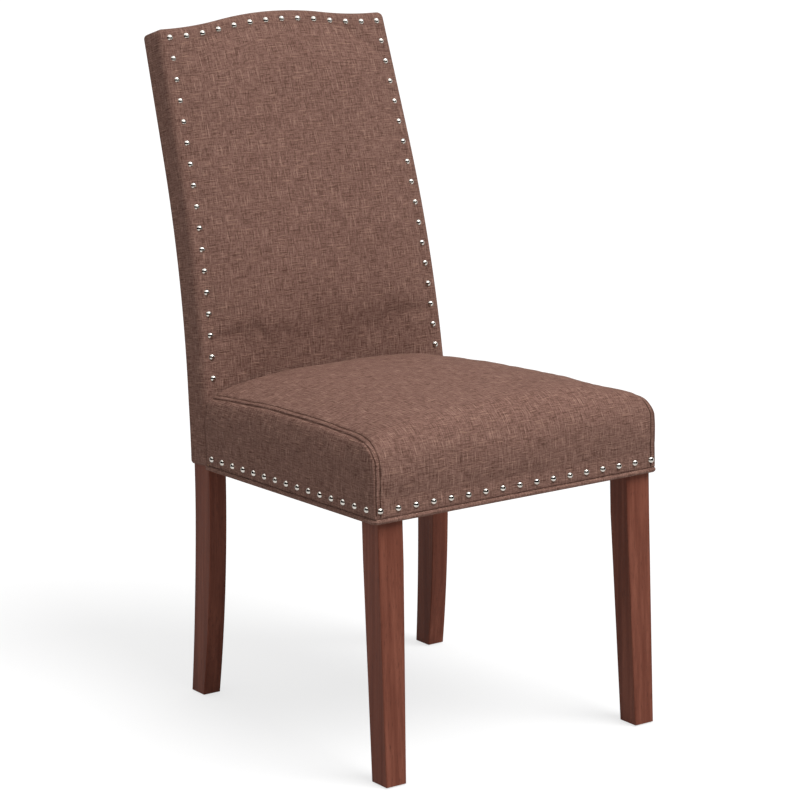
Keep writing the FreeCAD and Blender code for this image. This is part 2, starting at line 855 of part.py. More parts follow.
# Dowels: those of the left side are mirrored to the right
rail_core = rail_inset + rail_thickness / 2
along_rail = Vec(seat_taper, 1, 0).normalize()
leg_dowels = dowel_pair(Vec(-leg_in, rail_core, rail_middle), ACROSS, UP)
rail_front_end = Vec(-seat_half(leg_rear, rail_core), leg_rear, rail_middle)
leg_dowels += dowel_pair(rail_front_end, along_rail, UP)
rail_rear_end = Vec(-seat_half(frame_rear, rail_core), frame_rear, rail_middle)
post_dowels = dowel_pair(rail_rear_end, along_rail, UP)
rear_rail_end = Vec(post_width - post_seat_out, frame_rear + rail_thickness / 2, rail_middle)
post_dowels += dowel_pair(rear_rail_end, ACROSS, UP)
leg_dowels = to_chair(leg_dowels)
post_dowels = to_chair(post_dowels)
back_dowels = []
for run in (shoulder_run - crest_rail_height / 2, middle_rail_run, lower_rail_run):
    middle = on_back(0, post_front + back_rail_thickness / 2, run)
    middle.x = post_width - post_outer(middle.z)
    up_back = on_back(0, 0, run + 1) - on_back(0, 0, run)
    back_dowels += dowel_pair(middle, ACROSS, up_back)
seat_dowel_places = leg_dowels + post_dowels
seat_dowel_places += mirror_places(seat_dowel_places)
back_dowel_places = back_dowels + mirror_places(back_dowels)
nodes["seat_frame_dowels"] = group(dowel_solids(seat_dowel_places))
nodes["back_frame_dowels"] = group(dowel_solids(back_dowel_places))
seat_dowel_holes = dowel_holes(seat_dowel_places)
back_dowel_holes = dowel_holes(back_dowel_places)

# Corner blocks with their screws, and the bolts of the front legs
leg_corner = Vec(-leg_in, leg_rear, 0)
rear_corner = Vec(-seat_half(frame_rear, rail_inside), frame_rear, 0)
inside_rails = footprint(rail_inside, rail_inside, 0, rail_height)
front_block = seat_to_chair(bar_block(leg_corner, 1, block_stand_off).common(inside_rails))
rear_block = seat_to_chair(bar_block(rear_corner, -1, rear_block_stand_off).common(inside_rails))
rear_block = rear_block.cut(back_layer(post_front, beyond / 3, 0, back_run))
bar_reach = (block_stand_off + block_thickness / 2) * math.sqrt(2)
rear_bar_reach = (rear_block_stand_off + block_thickness / 2) * math.sqrt(2)
front_screw_x = -leg_in + bar_reach + leg_rear - rail_inside
side_gap = seat_half(leg_rear, rail_inside) - leg_in
front_screw_y = leg_rear + bar_reach + side_gap
rear_screw_x = rear_corner.x + rear_bar_reach
rear_screw_y = rear_corner.y - rear_bar_reach
screws = to_chair([
    (Vec(front_screw_x, rail_inside + screw_sink, rail_middle), Vec(0, -1, 0)),
    (Vec(screw_sink - seat_half(front_screw_y, rail_inside), front_screw_y, rail_middle),
     Vec(-1, 0, 0)),
    (Vec(rear_screw_x, frame_rear - screw_sink, rail_middle), Vec(0, 1, 0)),
    (Vec(screw_sink - seat_half(rear_screw_y, rail_inside), rear_screw_y, rail_middle),
     Vec(-1, 0, 0)),
])
screws += mirror_places(screws)
nodes["corner_block_screws"] = group([screw_at(*place) for place in screws])
screw_holes = [screw_clearance(*place) for place in screws]

diagonal = Vec(1, 1, 0).normalize()
washer_seat = leg_corner + diagonal * (block_stand_off + block_thickness) + UP * rail_middle
nut_seat = washer_seat + diagonal * washer_thickness
bolt_start = leg_corner - diagonal * bolt_in_leg + UP * rail_middle
bolt_length = (nut_seat - bolt_start).Length + nut_height + bolt_end
leg_bolt = seat_to_chair(rod(bolt_start, diagonal, bolt_length, bolt_diameter))
bolt_room = seat_to_chair(
    rod(bolt_start, diagonal, bolt_length, bolt_diameter + 2 * fit_clearance))
washer = rod(washer_seat, diagonal, washer_thickness, washer_diameter)
washer = washer.cut(
    rod(washer_seat, diagonal, washer_thickness, bolt_diameter + 2 * fit_clearance))
washer = seat_to_chair(washer)
nut = seat_to_chair(hexagon_nut(nut_seat, diagonal))
nodes["leg_bolts"] = group([leg_bolt, mirrored(leg_bolt)])
nodes["leg_bolt_washers"] = group([washer, mirrored(washer)])
nodes["leg_bolt_nuts"] = group([nut, mirrored(nut)])
bolt_rooms = [bolt_room, mirrored(bolt_room)]

# Floor glides under the feet
foot_slab = block(-beyond, beyond, -beyond, beyond, 0, glide_thickness + 1)
plain_post = make_post()
plain_leg = make_front_leg()
feet = {
    "front": plain_leg.common(foot_slab).optimalBoundingBox(False).Center,
    "rear": plain_post.common(foot_slab).optimalBoundingBox(False).Center,
}
glides = {place: make_glide(centre) for place, centre in feet.items()}
pin_holes = []
for centre in feet.values():
    start = Vec(centre.x, centre.y, 0)
    hole = rod(start, UP, glide_thickness + glide_pin_length + hole_overrun,
               glide_pin_diameter + 2 * fit_clearance)
    pin_holes += [hole, mirrored(hole)]

# Staples and dust cover
staples = [seat_to_chair(make_staple(*place)) for place in staple_places()]
nodes["dust_cover_staples"] = group(staples)
nodes["dust_cover"] = seat_to_chair(make_dust_cover()).cut(staples)

# Frame, left pieces and their mirror images
plain = {
    "rear_post": plain_post,
    "front_leg": plain_leg,
    "seat_rail": make_side_rail(),
    "corner_block_front": front_block,
    "corner_block_rear": rear_block,
    "floor_glide_front": glides["front"],
    "floor_glide_rear": glides["rear"],
}
bored = {
    "rear_post": seat_dowel_holes + back_dowel_holes + pin_holes,
    "front_leg": seat_dowel_holes + bolt_rooms + pin_holes + front_holes,
    "seat_rail": seat_dowel_holes + screw_holes + staples,
    "corner_block_front": screw_holes + bolt_rooms,
    "corner_block_rear": screw_holes,
}
nailed = {
    "rear_post": back_holes,
    "front_leg": side_holes,
    "seat_rail": side_holes,
}
for name, shape in plain.items():
    for side in ("left", "right"):
        piece = shape if side == "left" else mirrored(shape)
        holes = bored.get(name, []) + nailed.get(name, {}).get(side, [])
        near = [hole for hole in holes if hole.BoundBox.intersect(piece.BoundBox)]
        nodes[name + "_" + side] = piece.cut(near) if near else piece
front_rail = seat_to_chair(make_front_rail())
nodes["seat_rail_front"] = front_rail.cut(
    seat_dowel_holes + screw_holes + front_holes + staples)
rear_slab = seat_to_chair(block(-beyond, beyond, 0, beyond, 0, rail_height))
rear_rail = rail_between_posts(rail_thickness, rear_slab)
nodes["seat_rail_rear"] = rear_rail.cut(seat_dowel_holes + screw_holes + staples)
nodes["crest_rail"] = make_crest_rail().cut(back_dowel_holes + row_holes)
rail_runs = {"back_rail_middle": middle_rail_run, "back_rail_lower": lower_rail_run}
for name, run in rail_runs.items():
    rail = rail_between_posts(back_rail_thickness, back_slab(run, back_rail_height))
    nodes[name] = rail.cut(back_dowel_holes)

# Seat straps, foam, wadding and cover
strap_places = spread(
    seat_cross_strap_inset, seat_length - seat_cross_strap_inset, seat_cross_straps)
crosswise = [crosswise_strap(y) for y in strap_places]
strap_reach = seat_half(seat_length, rail_inside) - seat_long_strap_inset
lengthwise = []
for index, x in enumerate(spread(-strap_reach, strap_reach, seat_long_straps)):
    strap = woven_strap(x, index % 2 == 0, strap_places, rail_inside - strap_grip,
                        frame_rear + strap_grip)
    lengthwise.append(strap)
nodes["seat_straps_crosswise"] = seat_to_chair(group(crosswise))
nodes["seat_straps_lengthwise"] = seat_to_chair(group(lengthwise))

padding = seat_form(cloth, 0, padding_bottom)
between_panels = footprint(cloth, -seat_band_height, -seat_band_height, 2 * seat_side_height)
padding = padding.common(between_panels)
above_rails = block(-beyond, beyond, -beyond, beyond, rail_height, beyond)
foam = padding.common(above_rails).cut(crosswise + lengthwise)
nodes["seat_foam"] = seat_to_chair(foam)
beside_rails = block(-beyond, beyond, -beyond, beyond, welt_diameter, rail_height)
wadding = padding.common(beside_rails).cut(footprint(rail_inset, rail_inset, -1, beyond))
wadding_holes = front_holes + side_holes["left"] + side_holes["right"]
nodes["seat_wadding"] = seat_to_chair(wadding).cut(wadding_holes)

centre_panel = seat_form(0, cloth, welt_diameter)
centre_panel = centre_panel.cut(seat_form(cloth, 0, padding_bottom))
under_rear = block(-beyond, beyond, seat_length - 2 * cloth, beyond, 0, rail_height + 2 * cloth)
centre_panel = seat_to_chair(centre_panel.cut(under_rear))
nodes["seat_cover_centre"] = centre_panel.cut(front_holes)
outward = Vec(-1, seat_taper, 0).normalize()
side_face = Part.Face(seat_section(-1, 0, cloth, welt_diameter))
side_panel = seat_to_chair(side_face.extrude(outward * cloth))
nodes["seat_cover_left"] = side_panel.cut(side_holes["left"])
nodes["seat_cover_right"] = mirrored(side_panel).cut(side_holes["right"])
nodes["seat_welt"] = seat_to_chair(make_welt())

# Back straps, foam, board and covers
strap_runs = spread(lower_rail_run + strap_width, shoulder_run - 2 * strap_width, back_straps)
nodes["back_straps"] = group([back_strap(run) for run in strap_runs])
foam_rear = post_front - back_strap_thickness - soft_clearance
nodes["back_foam"] = back_pad(cloth).cut(back_layer(foam_rear, beyond / 3, 0, back_run))

cover_start = run_at_height(back_cover_bottom) / 2
below_cover = block(-beyond, beyond, -beyond, beyond, 0, back_cover_bottom)
hollow = back_body(cloth, cloth, board_rear + post_depth, 0)
inside_cover = back_body(0, 0, board_rear, cover_start).fuse(back_pad(0))
inside_cover = inside_cover.cut(hollow).cut(back_pad(cloth)).cut(below_cover)
seat_room = block(-beyond, beyond, -beyond, beyond, 0, seat_rear_top - seat_tuck)
seat_room = seat_room.common(back_layer(-beyond / 3, post_front + soft_clearance, 0, back_run))
inside_cover = inside_cover.cut(seat_room)
all_back_holes = row_holes + [nail_hole(*place) for place in left_column + right_column]
nodes["back_cover_inside"] = inside_cover.cut(all_back_holes)
board = back_body(cloth + cloth_ease, post_rear, board_rear, cover_start)
nodes["back_board"] = board.cut(below_cover)
outside_cover = back_body(0, board_rear, back_rear, cover_start)
nodes["back_cover_outside"] = outside_cover.cut(below_cover)

# The origin is the middle of the chair's box on the floor
boxes = [shape.optimalBoundingBox(False) for shape in nodes.values()]
middle_y = (min(box.YMin for box in boxes) + max(box.YMax for box in boxes)) / 2
os.makedirs("parts", exist_ok=True)
for name, shape in nodes.items():
    shape.translate(Vec(0, -middle_y, 0))
    shape.exportStep("parts/" + name + ".step")
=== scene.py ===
import math

import bmesh
import bpy
from mathutils import Matrix, Vector, noise
from mathutils.kdtree import KDTree


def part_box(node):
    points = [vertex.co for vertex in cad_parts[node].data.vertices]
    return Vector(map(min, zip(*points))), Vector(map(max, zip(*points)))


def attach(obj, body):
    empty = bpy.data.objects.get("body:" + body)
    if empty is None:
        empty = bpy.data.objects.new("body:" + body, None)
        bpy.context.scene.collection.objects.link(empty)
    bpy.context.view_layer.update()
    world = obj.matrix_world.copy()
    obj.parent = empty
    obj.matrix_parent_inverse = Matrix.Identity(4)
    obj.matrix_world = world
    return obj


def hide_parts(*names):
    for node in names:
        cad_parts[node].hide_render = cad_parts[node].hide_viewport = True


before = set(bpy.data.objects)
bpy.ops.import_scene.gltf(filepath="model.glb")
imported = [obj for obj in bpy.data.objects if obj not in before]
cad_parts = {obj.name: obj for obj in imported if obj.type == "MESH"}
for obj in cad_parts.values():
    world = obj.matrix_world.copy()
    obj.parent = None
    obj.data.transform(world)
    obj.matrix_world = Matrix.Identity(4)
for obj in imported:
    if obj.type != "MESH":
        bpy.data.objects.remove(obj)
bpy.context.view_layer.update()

# Upholstered dining chair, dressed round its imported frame. Lengths are in metres.
# The chair faces -Y, left is its -X side, and the floor is at Z = 0.
# The seat has a frame of its own, tilted by the seat's slope, with its origin on the
# centre line, at the front of the seat cloth and the underside of the front rail.

# Camera, as the photograph was taken: where it stood, how it was turned, and its lens
camera_place = Vector((-2.6763, -3.6999, 1.5221))
camera_yaw = 36.15
camera_pitch = 13.17
camera_sensor = 36.0
camera_lens = 143.46
camera_shift = (-0.0004, 0.0011)

# Studio light: levels at which a colour renders about as it is written
world_level = 0.32
key_level = 3.0
key_turn = (32, 0, 24)
key_softness = 35
overhead_level = 1.2
overhead_softness = 100
floor_size = 60.0
floor_glow = 0.72

# Dark flags, seen only in reflections, which give the nails their dark middle band
flag_width = 3.2
flag_height = 2.2
flag_places = ((1.3, -1.8), (-0.3, -2.2), (-2.1, -0.8), (-1.9, 1.2))

# Seat cushion, as the construction has it
seat_front_height = 0.375
seat_slope = math.radians(2.6)
seat_width_front = 0.500
seat_width_rear = 0.451
seat_length = 0.456
seat_band_height = 0.042
seat_edge_height = 0.088
seat_side_height = 0.120
seat_rear_height = 0.110
seat_shoulder_depth = 0.034
seat_shoulder_drop = 0.007
seat_rear_lean = 0.005
seat_foot_lean = 0.0017
seat_bottom = 0.0072
rail_inset = 0.004
seat_taper = (seat_width_front - seat_width_rear) / 2 / seat_length

# Covers: pressure of their filling, frames it swells for, and how near edges are joined
padding_pressure = 4
swell_frames = 20
weld_gap = 0.0002

# Seat cushion before its padding swells: its crown, and how its sides roll in to the seam
seat_crown = 0.0205
front_edge_crown_share = 0.35
shoulder_crown_share = 0.9
crown_peak_share = 0.42
seat_front_bulge = 0.001
seat_side_bulge = 0.001
side_bulge_fade = 0.02
seam_dip = 0.004
side_roll_start = 0.004
side_roll_full = 0.075
side_roll_in = 0.013
side_roll_down = 0.038
corner_roll_in = 0.0035
corner_roll_down = 0.005
rear_roll_start = seat_length - 0.003
rear_roll_end = seat_length + 0.0033
rear_roll_in = 0.0022

# Where the round of the shoulder passes, as shares of its depth and height, then the
# points of the seat's outline up its foot and front, round the shoulder and over the top
shoulder_round = (0.3, 0.6)
foot_points = 8
front_points = 9
shoulder_points = 10
top_points = 76
seat_grid = 0.007

# How far the seat swells, where it is held, and the size and height of its unevenness
seat_swell = 0.005
seat_slack = 0.01
seat_band_held = 0.030
seat_rear_held = 0.012
seat_held_fade = 0.010
seat_ripples = ((0.055, 0.0016), (0.020, 0.0005))

# Cloth: width of a yarn, in its colour and in its relief
yarn_width = 0.0011

# Seams: a groove at the seam and a shallower one under the row of topstitching
topstitch_offset = 0.0068
topstitch_clear = 0.0125
seam_groove_depth = 0.0015
stitch_groove_depth = 0.0013
groove_half_width = 0.0016
stitch_pitch = 0.0045
stitch_share = 0.78
thread_width = 0.0006
far_from_seam = 1.0

# Piping round the foot of the seat cover
piping_radius = 0.0035
piping_proud = 0.0028
piping_past_seat = 0.002
piping_corner = 0.008
piping_sides = 14
piping_corner_steps = 8

# Back, measured up its front cloth from the waist
waist_height = 0.262
back_setback = seat_length + 0.0003
back_bend_radius = 1.709
back_rake = math.radians(18.6)
back_run = 0.759
crest_rise = 0.015
crest_half_span = 0.186
crest_blend = 0.11
crest_full = 0.02
back_cover_bottom = 0.356
back_edge_radius = 0.0098
back_rear_edge_radius = 0.0065
back_nominal_half = 0.210
post_front = 0.003
post_foot_out = 0.2245
post_seat_out = 0.2175
post_top_out = 0.1995
post_break_height = 0.450
shoulder_run = back_run - crest_rise
arc_run = back_bend_radius * back_rake

# Depth of the back to its board and to its outside, a little more than the solids have,
# and what is added at its sides and at its top
back_board_depth = 0.0488
back_depth = 0.0516
back_puff = 0.0018
back_top_puff = 0.0025

# Padding of the back before it swells, and how far the swell may go
back_crown = 0.0085
back_crown_margin = 0.020
back_crown_slope = 0.075
back_crown_above_seat = 0.14
back_grid = (0.0055, 0.009, 0.0055)
back_swell = 0.005
back_slack = 0.02
back_edge_held = 0.0105
back_held_fade = 0.003
back_loose_from = 0.020
back_loose_full = 0.060
back_ripples = ((0.060, 0.0014), (0.022, 0.0004))
behind_seat_run = 0.205
behind_seat_below = 0.02
behind_seat_above = 0.12

# Outside back panel: its margin inside the back's edge
panel_inset = 0.0070
panel_tuck = 0.0008
panel_edge_radius = 0.0016
panel_grid = (0.012, 0.002, 0.012)
panel_weld_gap = 0.00005

# Rows of nails on the back, as the construction has them
back_nail_side_inset = 0.016
back_nail_top_inset = 0.0125
back_row_nails = 14
back_column_nails = 16
back_column_bottom = 0.487
nail_hold_radius = 0.0055

# Dust cover under the seat
dust_cover_inset = 0.012
dust_cover_rear = 0.4773
dust_cover_front = 0.012
dust_cover_thickness = 0.0008
dust_cover_sag = 0.003
dust_cover_grid = 0.014
dust_cover_lines = 35
dust_cover_weld_gap = 0.00002
sag_full_within = 0.1
sag_none_beyond = 0.86

seat_origin = Vector((0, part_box("seat_rail_front")[0].y - rail_inset, seat_front_height))
seat_place = Matrix.Translation(seat_origin) @ Matrix.Rotation(-seat_slope, 4, "X")


def srgb(code):
    """Linear colour with alpha from an sRGB hex code."""
    channels = [int(code[i:i + 2], 16) / 255 for i in (1, 3, 5)]
    linear = [c / 12.92 if c <= 0.04045 else ((c + 0.055) / 1.055) ** 2.4 for c in channels]
    return (*linear, 1)


def add_node(tree, kind, settings=None, inputs=None):
    """Adds a node, sets its properties, then its sockets, by value or by link."""
    node = tree.nodes.new(kind)
    for name, value in (settings or {}).items():
        setattr(node, name, value)
    for name, value in (inputs or {}).items():
        if isinstance(value, bpy.types.NodeSocket):
            tree.links.new(value, node.inputs[name])
        else:
            node.inputs[name].default_value = value
    return node


def new_material(name):
    """Empty material with its output node."""
    material = bpy.data.materials.new(name)
    material.use_nodes = True
    tree = material.node_tree
    tree.nodes.clear()
    return material, tree, tree.nodes.new("ShaderNodeOutputMaterial")


def finish_material(tree, output, settings):
    """Joins a Principled shader, set as given, to the material's output."""
    shader = add_node(tree, "ShaderNodeBsdfPrincipled", None, settings)
    tree.links.new(shader.outputs[0], output.inputs["Surface"])


def noise_at(tree, places, size, detail, roughness=0.5):
    """Noise over the places, with features of the given sizes in metres along the axes."""
    scaled = add_node(tree, "ShaderNodeMapping", None,
                      {"Vector": places, "Scale": [1 / s for s in size]})
    return add_node(tree, "ShaderNodeTexNoise", None,
                    {"Vector": scaled.outputs[0], "Scale": 1.0, "Detail": detail,
                     "Roughness": roughness}).outputs["Fac"]


def blend_colours(tree, factor, first, second):
    """Colour between two, each a code or a socket."""
    first, second = [srgb(c) if isinstance(c, str) else c for c in (first, second)]
    # The mix node's colour sockets come after its number and vector sockets
    blend = add_node(tree, "ShaderNodeMix", {"data_type": "RGBA"},
                     {0: factor, 6: first, 7: second})
    return blend.outputs[2]


def ranged(tree, value, low, high, to_low=0.0, to_high=1.0):
    """A value moved from one range to another, and held at its ends."""
    return add_node(tree, "ShaderNodeMapRange", None,
                    {"Value": value, "From Min": low, "From Max": high,
                     "To Min": to_low, "To Max": to_high}).outputs[0]


def combined(tree, kind, first, second=0.0):
    """Result of one arithmetic step on one or two values."""
    return add_node(tree, "ShaderNodeMath", {"operation": kind},
                    {0: first, 1: second}).outputs[0]


def bumped(tree, height, distance, strength=1.0):
    """Normal of a surface raised by a height map, by at most a distance."""
    return add_node(tree, "ShaderNodeBump", None,
                    {"Height": height, "Distance": distance, "Strength": strength}).outputs[0]


def bands(tree, places, axis, width, distortion):
    """Wavy bands across an axis, with each band and each gap of the given width."""
    # The texture counts 20 radians to a unit of its places
    return add_node(tree, "ShaderNodeTexWave", {"bands_direction": axis},
                    {"Vector": places, "Scale": math.pi / 20 / width,
                     "Distortion": distortion}).outputs["Fac"]


def seen_directly(tree):
    """1 for rays that see a surface straight, in a reflection or through glass."""
    path = add_node(tree, "ShaderNodeLightPath")
    seen = combined(tree, "MAXIMUM", path.outputs["Is Camera Ray"], path.outputs["Is Glossy Ray"])
    return combined(tree, "MAXIMUM", seen, path.outputs["Is Transmission Ray"])


def make_world():
    """White surroundings, which light the chair at a lower level than they show."""
    world = bpy.data.worlds.new("white_studio")
    bpy.context.scene.world = world
    world.use_nodes = True
    tree = world.node_tree
    tree.nodes.clear()
    level = ranged(tree, seen_directly(tree), 0.0, 1.0, world_level, 1.0)
    shade = add_node(tree, "ShaderNodeBackground", None,
                     {"Color": (1, 1, 1, 1), "Strength": level})
    output = tree.nodes.new("ShaderNodeOutputWorld")
    tree.links.new(shade.outputs[0], output.inputs["Surface"])


def make_light(name, level, softness, turn):
    """Far soft light, pointing down until it is turned."""
    lamp = bpy.data.lights.new(name, "SUN")
    lamp.energy = level
    lamp.angle = math.radians(softness)
    light = bpy.data.objects.new(name, lamp)
    light.rotation_euler = [math.radians(a) for a in turn]
    bpy.context.scene.collection.objects.link(light)


def make_floor():
    """White paper floor, which shows white and keeps the chair's soft shadow."""
    bpy.ops.mesh.primitive_plane_add(size=floor_size, location=(0, 0, 0))
    floor = bpy.context.object
    floor.name = "floor"
    material, tree, output = new_material("white_paper")
    seen = seen_directly(tree)
    # The first grey is what lights the chair from below, the second what the paper shows
    paper = add_node(tree, "ShaderNodeBsdfDiffuse", None,
                     {"Color": blend_colours(tree, seen, "#c2c2c2", "#888888")})
    level = ranged(tree, seen, 0.0, 1.0, 0.0, floor_glow)
    glow = add_node(tree, "ShaderNodeEmission", None, {"Strength": level})
    both = add_node(tree, "ShaderNodeAddShader", None,
                    {0: paper.outputs[0], 1: glow.outputs[0]})
    tree.links.new(both.outputs[0], output.inputs["Surface"])
    floor.data.materials.append(material)


def make_flags():
    """Upright dark cards that face the chair, in reflections only."""
    material, tree, output = new_material("black_felt_flag")
    felt = add_node(tree, "ShaderNodeBsdfDiffuse", None, {"Color": srgb("#1c1b1a")})
    tree.links.new(felt.outputs[0], output.inputs["Surface"])
    for x, y in flag_places:
        facing = math.atan2(-x, y)
        bpy.ops.mesh.primitive_plane_add(size=1, location=(x, y, flag_height / 2),
                                         rotation=(math.radians(90), 0, facing))
        flag = bpy.context.object
        flag.name = "flag"
        flag.scale = (flag_width, flag_height, 1)
        flag.data.materials.append(material)
        flag.visible_camera = False
        flag.visible_diffuse = False
        flag.visible_transmission = False
        flag.visible_shadow = False


def make_camera():
    """Camera where the photograph was taken from."""
    camera = bpy.data.objects.new("camera", bpy.data.cameras.new("camera"))
    camera.location = camera_place
    camera.rotation_euler = (math.radians(90 - camera_pitch), 0, math.radians(-camera_yaw))
    camera.data.sensor_width = camera_sensor
    camera.data.lens = camera_lens
    camera.data.shift_x, camera.data.shift_y = camera_shift
    camera.data.clip_end = 4 * floor_size
    bpy.context.scene.collection.objects.link(camera)
    bpy.context.scene.camera = camera


def make_woven_cloth(name, sewn):
    """Brown linen-look cloth: two tones of uneven yarn, crossed, with slubs and flecks."""
    material, tree, output = new_material(name)
    places = add_node(tree, "ShaderNodeUVMap", {"uv_map": "weave"}).outputs[0]
    # Yarns each way vary in tone along their length, which gives the heathered look
    warp = noise_at(tree, places, (yarn_width, 0.014, 1), 2)
    weft = noise_at(tree, places, (0.014, yarn_width, 1), 2)
    # Thick places in single yarns, the slubs, as light or dark dashes each way
    warp_slubs = noise_at(tree, places, (0.0015, 0.026, 1), 1)
    weft_slubs = noise_at(tree, places, (0.026, 0.0015, 1), 1)
    # Mottling where yarns of like tone meet, and slow changes over a hand's width
    mottle = noise_at(tree, places, (0.0026, 0.0030, 1), 3, 0.7)
    cloud = noise_at(tree, places, (0.09, 0.09, 1), 2)
    yarns = combined(tree, "ADD", ranged(tree, warp, 0.32, 0.68), ranged(tree, weft, 0.32, 0.68))
    tone = blend_colours(tree, combined(tree, "MULTIPLY", yarns, 0.5), "#4c322b", "#917166")
    tone = blend_colours(tree, ranged(tree, warp_slubs, 0.60, 0.72, 0.0, 0.6), tone, "#ab897a")
    tone = blend_colours(tree, ranged(tree, weft_slubs, 0.60, 0.72, 0.0, 0.6), tone, "#a48170")
    tone = blend_colours(tree, ranged(tree, weft_slubs, 0.40, 0.30, 0.0, 0.6), tone, "#3d2720")
    tone = blend_colours(tree, ranged(tree, warp_slubs, 0.40, 0.30, 0.0, 0.5), tone, "#412b24")
    tone = blend_colours(tree, ranged(tree, mottle, 0.52, 0.66, 0.0, 0.34), tone, "#947466")
    tone = blend_colours(tree, ranged(tree, mottle, 0.48, 0.34, 0.0, 0.34), tone, "#4a312a")
    tone = blend_colours(tree, ranged(tree, cloud, 0.3, 0.7, 0.0, 0.12), tone, "#553b32")
    if sewn:
        # Shadow in the seam and under the topstitching, then the thread's own stitches
        shadow = "#2c1a14"
        distance = add_node(tree, "ShaderNodeAttribute",
                            {"attribute_name": "from_edge"}).outputs["Fac"]
        from_seam = combined(tree, "ABSOLUTE", distance)
        from_stitch = combined(tree, "ABSOLUTE",
                               combined(tree, "SUBTRACT", distance, topstitch_offset))
        in_seam = ranged(tree, from_seam, 0.0012, 0.0004, 0.0, 0.65)
        tone = blend_colours(tree, in_seam, tone, shadow)
        under_thread = ranged(tree, from_stitch, 0.0013, 0.0005, 0.0, 0.8)
        tone = blend_colours(tree, under_thread, tone, shadow)
        length = add_node(tree, "ShaderNodeSeparateXYZ", None, {0: places}).outputs[1]
        share = combined(tree, "FRACT", combined(tree, "DIVIDE", length, stitch_pitch))
        in_stitch = combined(tree, "LESS_THAN", share, stitch_share)
        on_line = combined(tree, "LESS_THAN", from_stitch, thread_width / 2)
        thread = combined(tree, "MULTIPLY", in_stitch, on_line)
        tone = blend_colours(tree, thread, tone, "#5f463c")
    # Relief of the weave, with its slubs standing proud of it
    crossed = [bands(tree, places, axis, yarn_width, 0.6) for axis in "XY"]
    weave = combined(tree, "MULTIPLY", *crossed)
    slubs = combined(tree, "MAXIMUM", ranged(tree, warp_slubs, 0.55, 0.75),
                     ranged(tree, weft_slubs, 0.55, 0.75))
    height = combined(tree, "ADD", weave, combined(tree, "ADD", slubs, mottle))
    # Matt, with a faint brown sheen where the cloth turns away
    finish_material(tree, output, {
        "Base Color": tone, "Roughness": 0.95, "Specular IOR Level": 0.05,
        "Specular Tint": srgb("#c09080"), "Sheen Weight": 0.02, "Sheen Roughness": 0.5,
        "Sheen Tint": srgb("#9a7565"),
        "Normal": bumped(tree, height, 0.0005, 0.8)})
    return material


def make_wood(name, grain_axis, dark, light, pore, roughness, coat):
    """Straight-grained wood, with streaks and pores drawn out along the grain axis."""
    material, tree, output = new_material(name)
    places = add_node(tree, "ShaderNodeTexCoord").outputs["Object"]

    def drawn_out(across, along):
        return [along if axis == grain_axis else across for axis in "XYZ"]

    # Growth rings as soft streaks, a finer figure within them, and short dark pores
    streaks = noise_at(tree, places, drawn_out(0.011, 0.42), 3, 0.55)
    figure = noise_at(tree, places, drawn_out(0.0035, 0.11), 4, 0.6)
    pores = noise_at(tree, places, drawn_out(0.0009, 0.016), 2)
    tone = blend_colours(tree, ranged(tree, streaks, 0.34, 0.66), dark, light)
    tone = blend_colours(tree, ranged(tree, figure, 0.62, 0.38, 0.0, 0.5), tone, dark)
    tone = blend_colours(tree, ranged(tree, pores, 0.60, 0.72, 0.0, 0.6), tone, pore)
    gloss = ranged(tree, figure, 0.3, 0.7, roughness - 0.05, roughness + 0.07)
    relief = combined(tree, "SUBTRACT", figure, ranged(tree, pores, 0.58, 0.72))
    finish_material(tree, output, {
        "Base Color": tone, "Roughness": gloss, "Specular IOR Level": 0.05,
        "Coat Weight": coat, "Coat Roughness": 0.22,
        "Normal": bumped(tree, relief, 0.0002, 0.5)})
    return material


def make_metal(name, tone, worn, roughness, scratch):
    """Metal with faint cloudiness in its polish and fine scratches."""
    material, tree, output = new_material(name)
    places = add_node(tree, "ShaderNodeTexCoord").outputs["Object"]
    cloud = noise_at(tree, places, (0.004, 0.004, 0.004), 3)
    marks = noise_at(tree, places, (0.0006, 0.0006, scratch), 2)
    colour = blend_colours(tree, ranged(tree, cloud, 0.4, 0.7, 0.0, 0.7), tone, worn)
    gloss = ranged(tree, marks, 0.3, 0.7, roughness - 0.04, roughness + 0.06)
    finish_material(tree, output, {
        "Base Color": colour, "Metallic": 1.0, "Roughness": gloss,
        "Normal": bumped(tree, marks, 0.00004, 0.5)})
    return material


def make_grained(name, dark, light, size, roughness, depth):
    """Plain material with a mottled or fibrous grain of a given size along the axes."""
    material, tree, output = new_material(name)
    places = add_node(tree, "ShaderNodeTexCoord").outputs["Object"]
    fine = noise_at(tree, places, size, 4, 0.6)
    broad = noise_at(tree, places, [8 * s for s in size], 2)
    tone = blend_colours(tree, ranged(tree, fine, 0.3, 0.7), dark, light)
    tone = blend_colours(tree, ranged(tree, broad, 0.3, 0.7, 0.0, 0.3), tone, dark)
    gloss = ranged(tree, fine, 0.3, 0.7, roughness - 0.06, roughness + 0.06)
    finish_material(tree, output, {
        "Base Color": tone, "Roughness": gloss, "Normal": bumped(tree, fine, depth)})
    return material


def make_webbing():
    """Jute-coloured strap webbing, ribbed both ways by its coarse yarns."""
    material, tree, output = new_material("strap_webbing_weave")
    places = add_node(tree, "ShaderNodeTexCoord").outputs["Object"]
    ribs = [bands(tree, places, axis, 0.002, 0.8) for axis in "XY"]
    weave = combined(tree, "MULTIPLY", *ribs)
    fleck = noise_at(tree, places, (0.002, 0.002, 0.002), 3)
    tone = blend_colours(tree, weave, "#7a6a50", "#a8977a")
    tone = blend_colours(tree, ranged(tree, fleck, 0.4, 0.7, 0.0, 0.5), tone, "#5e4f3a")
    finish_material(tree, output, {
        "Base Color": tone, "Roughness": 0.85, "Normal": bumped(tree, weave, 0.0005)})
    return material


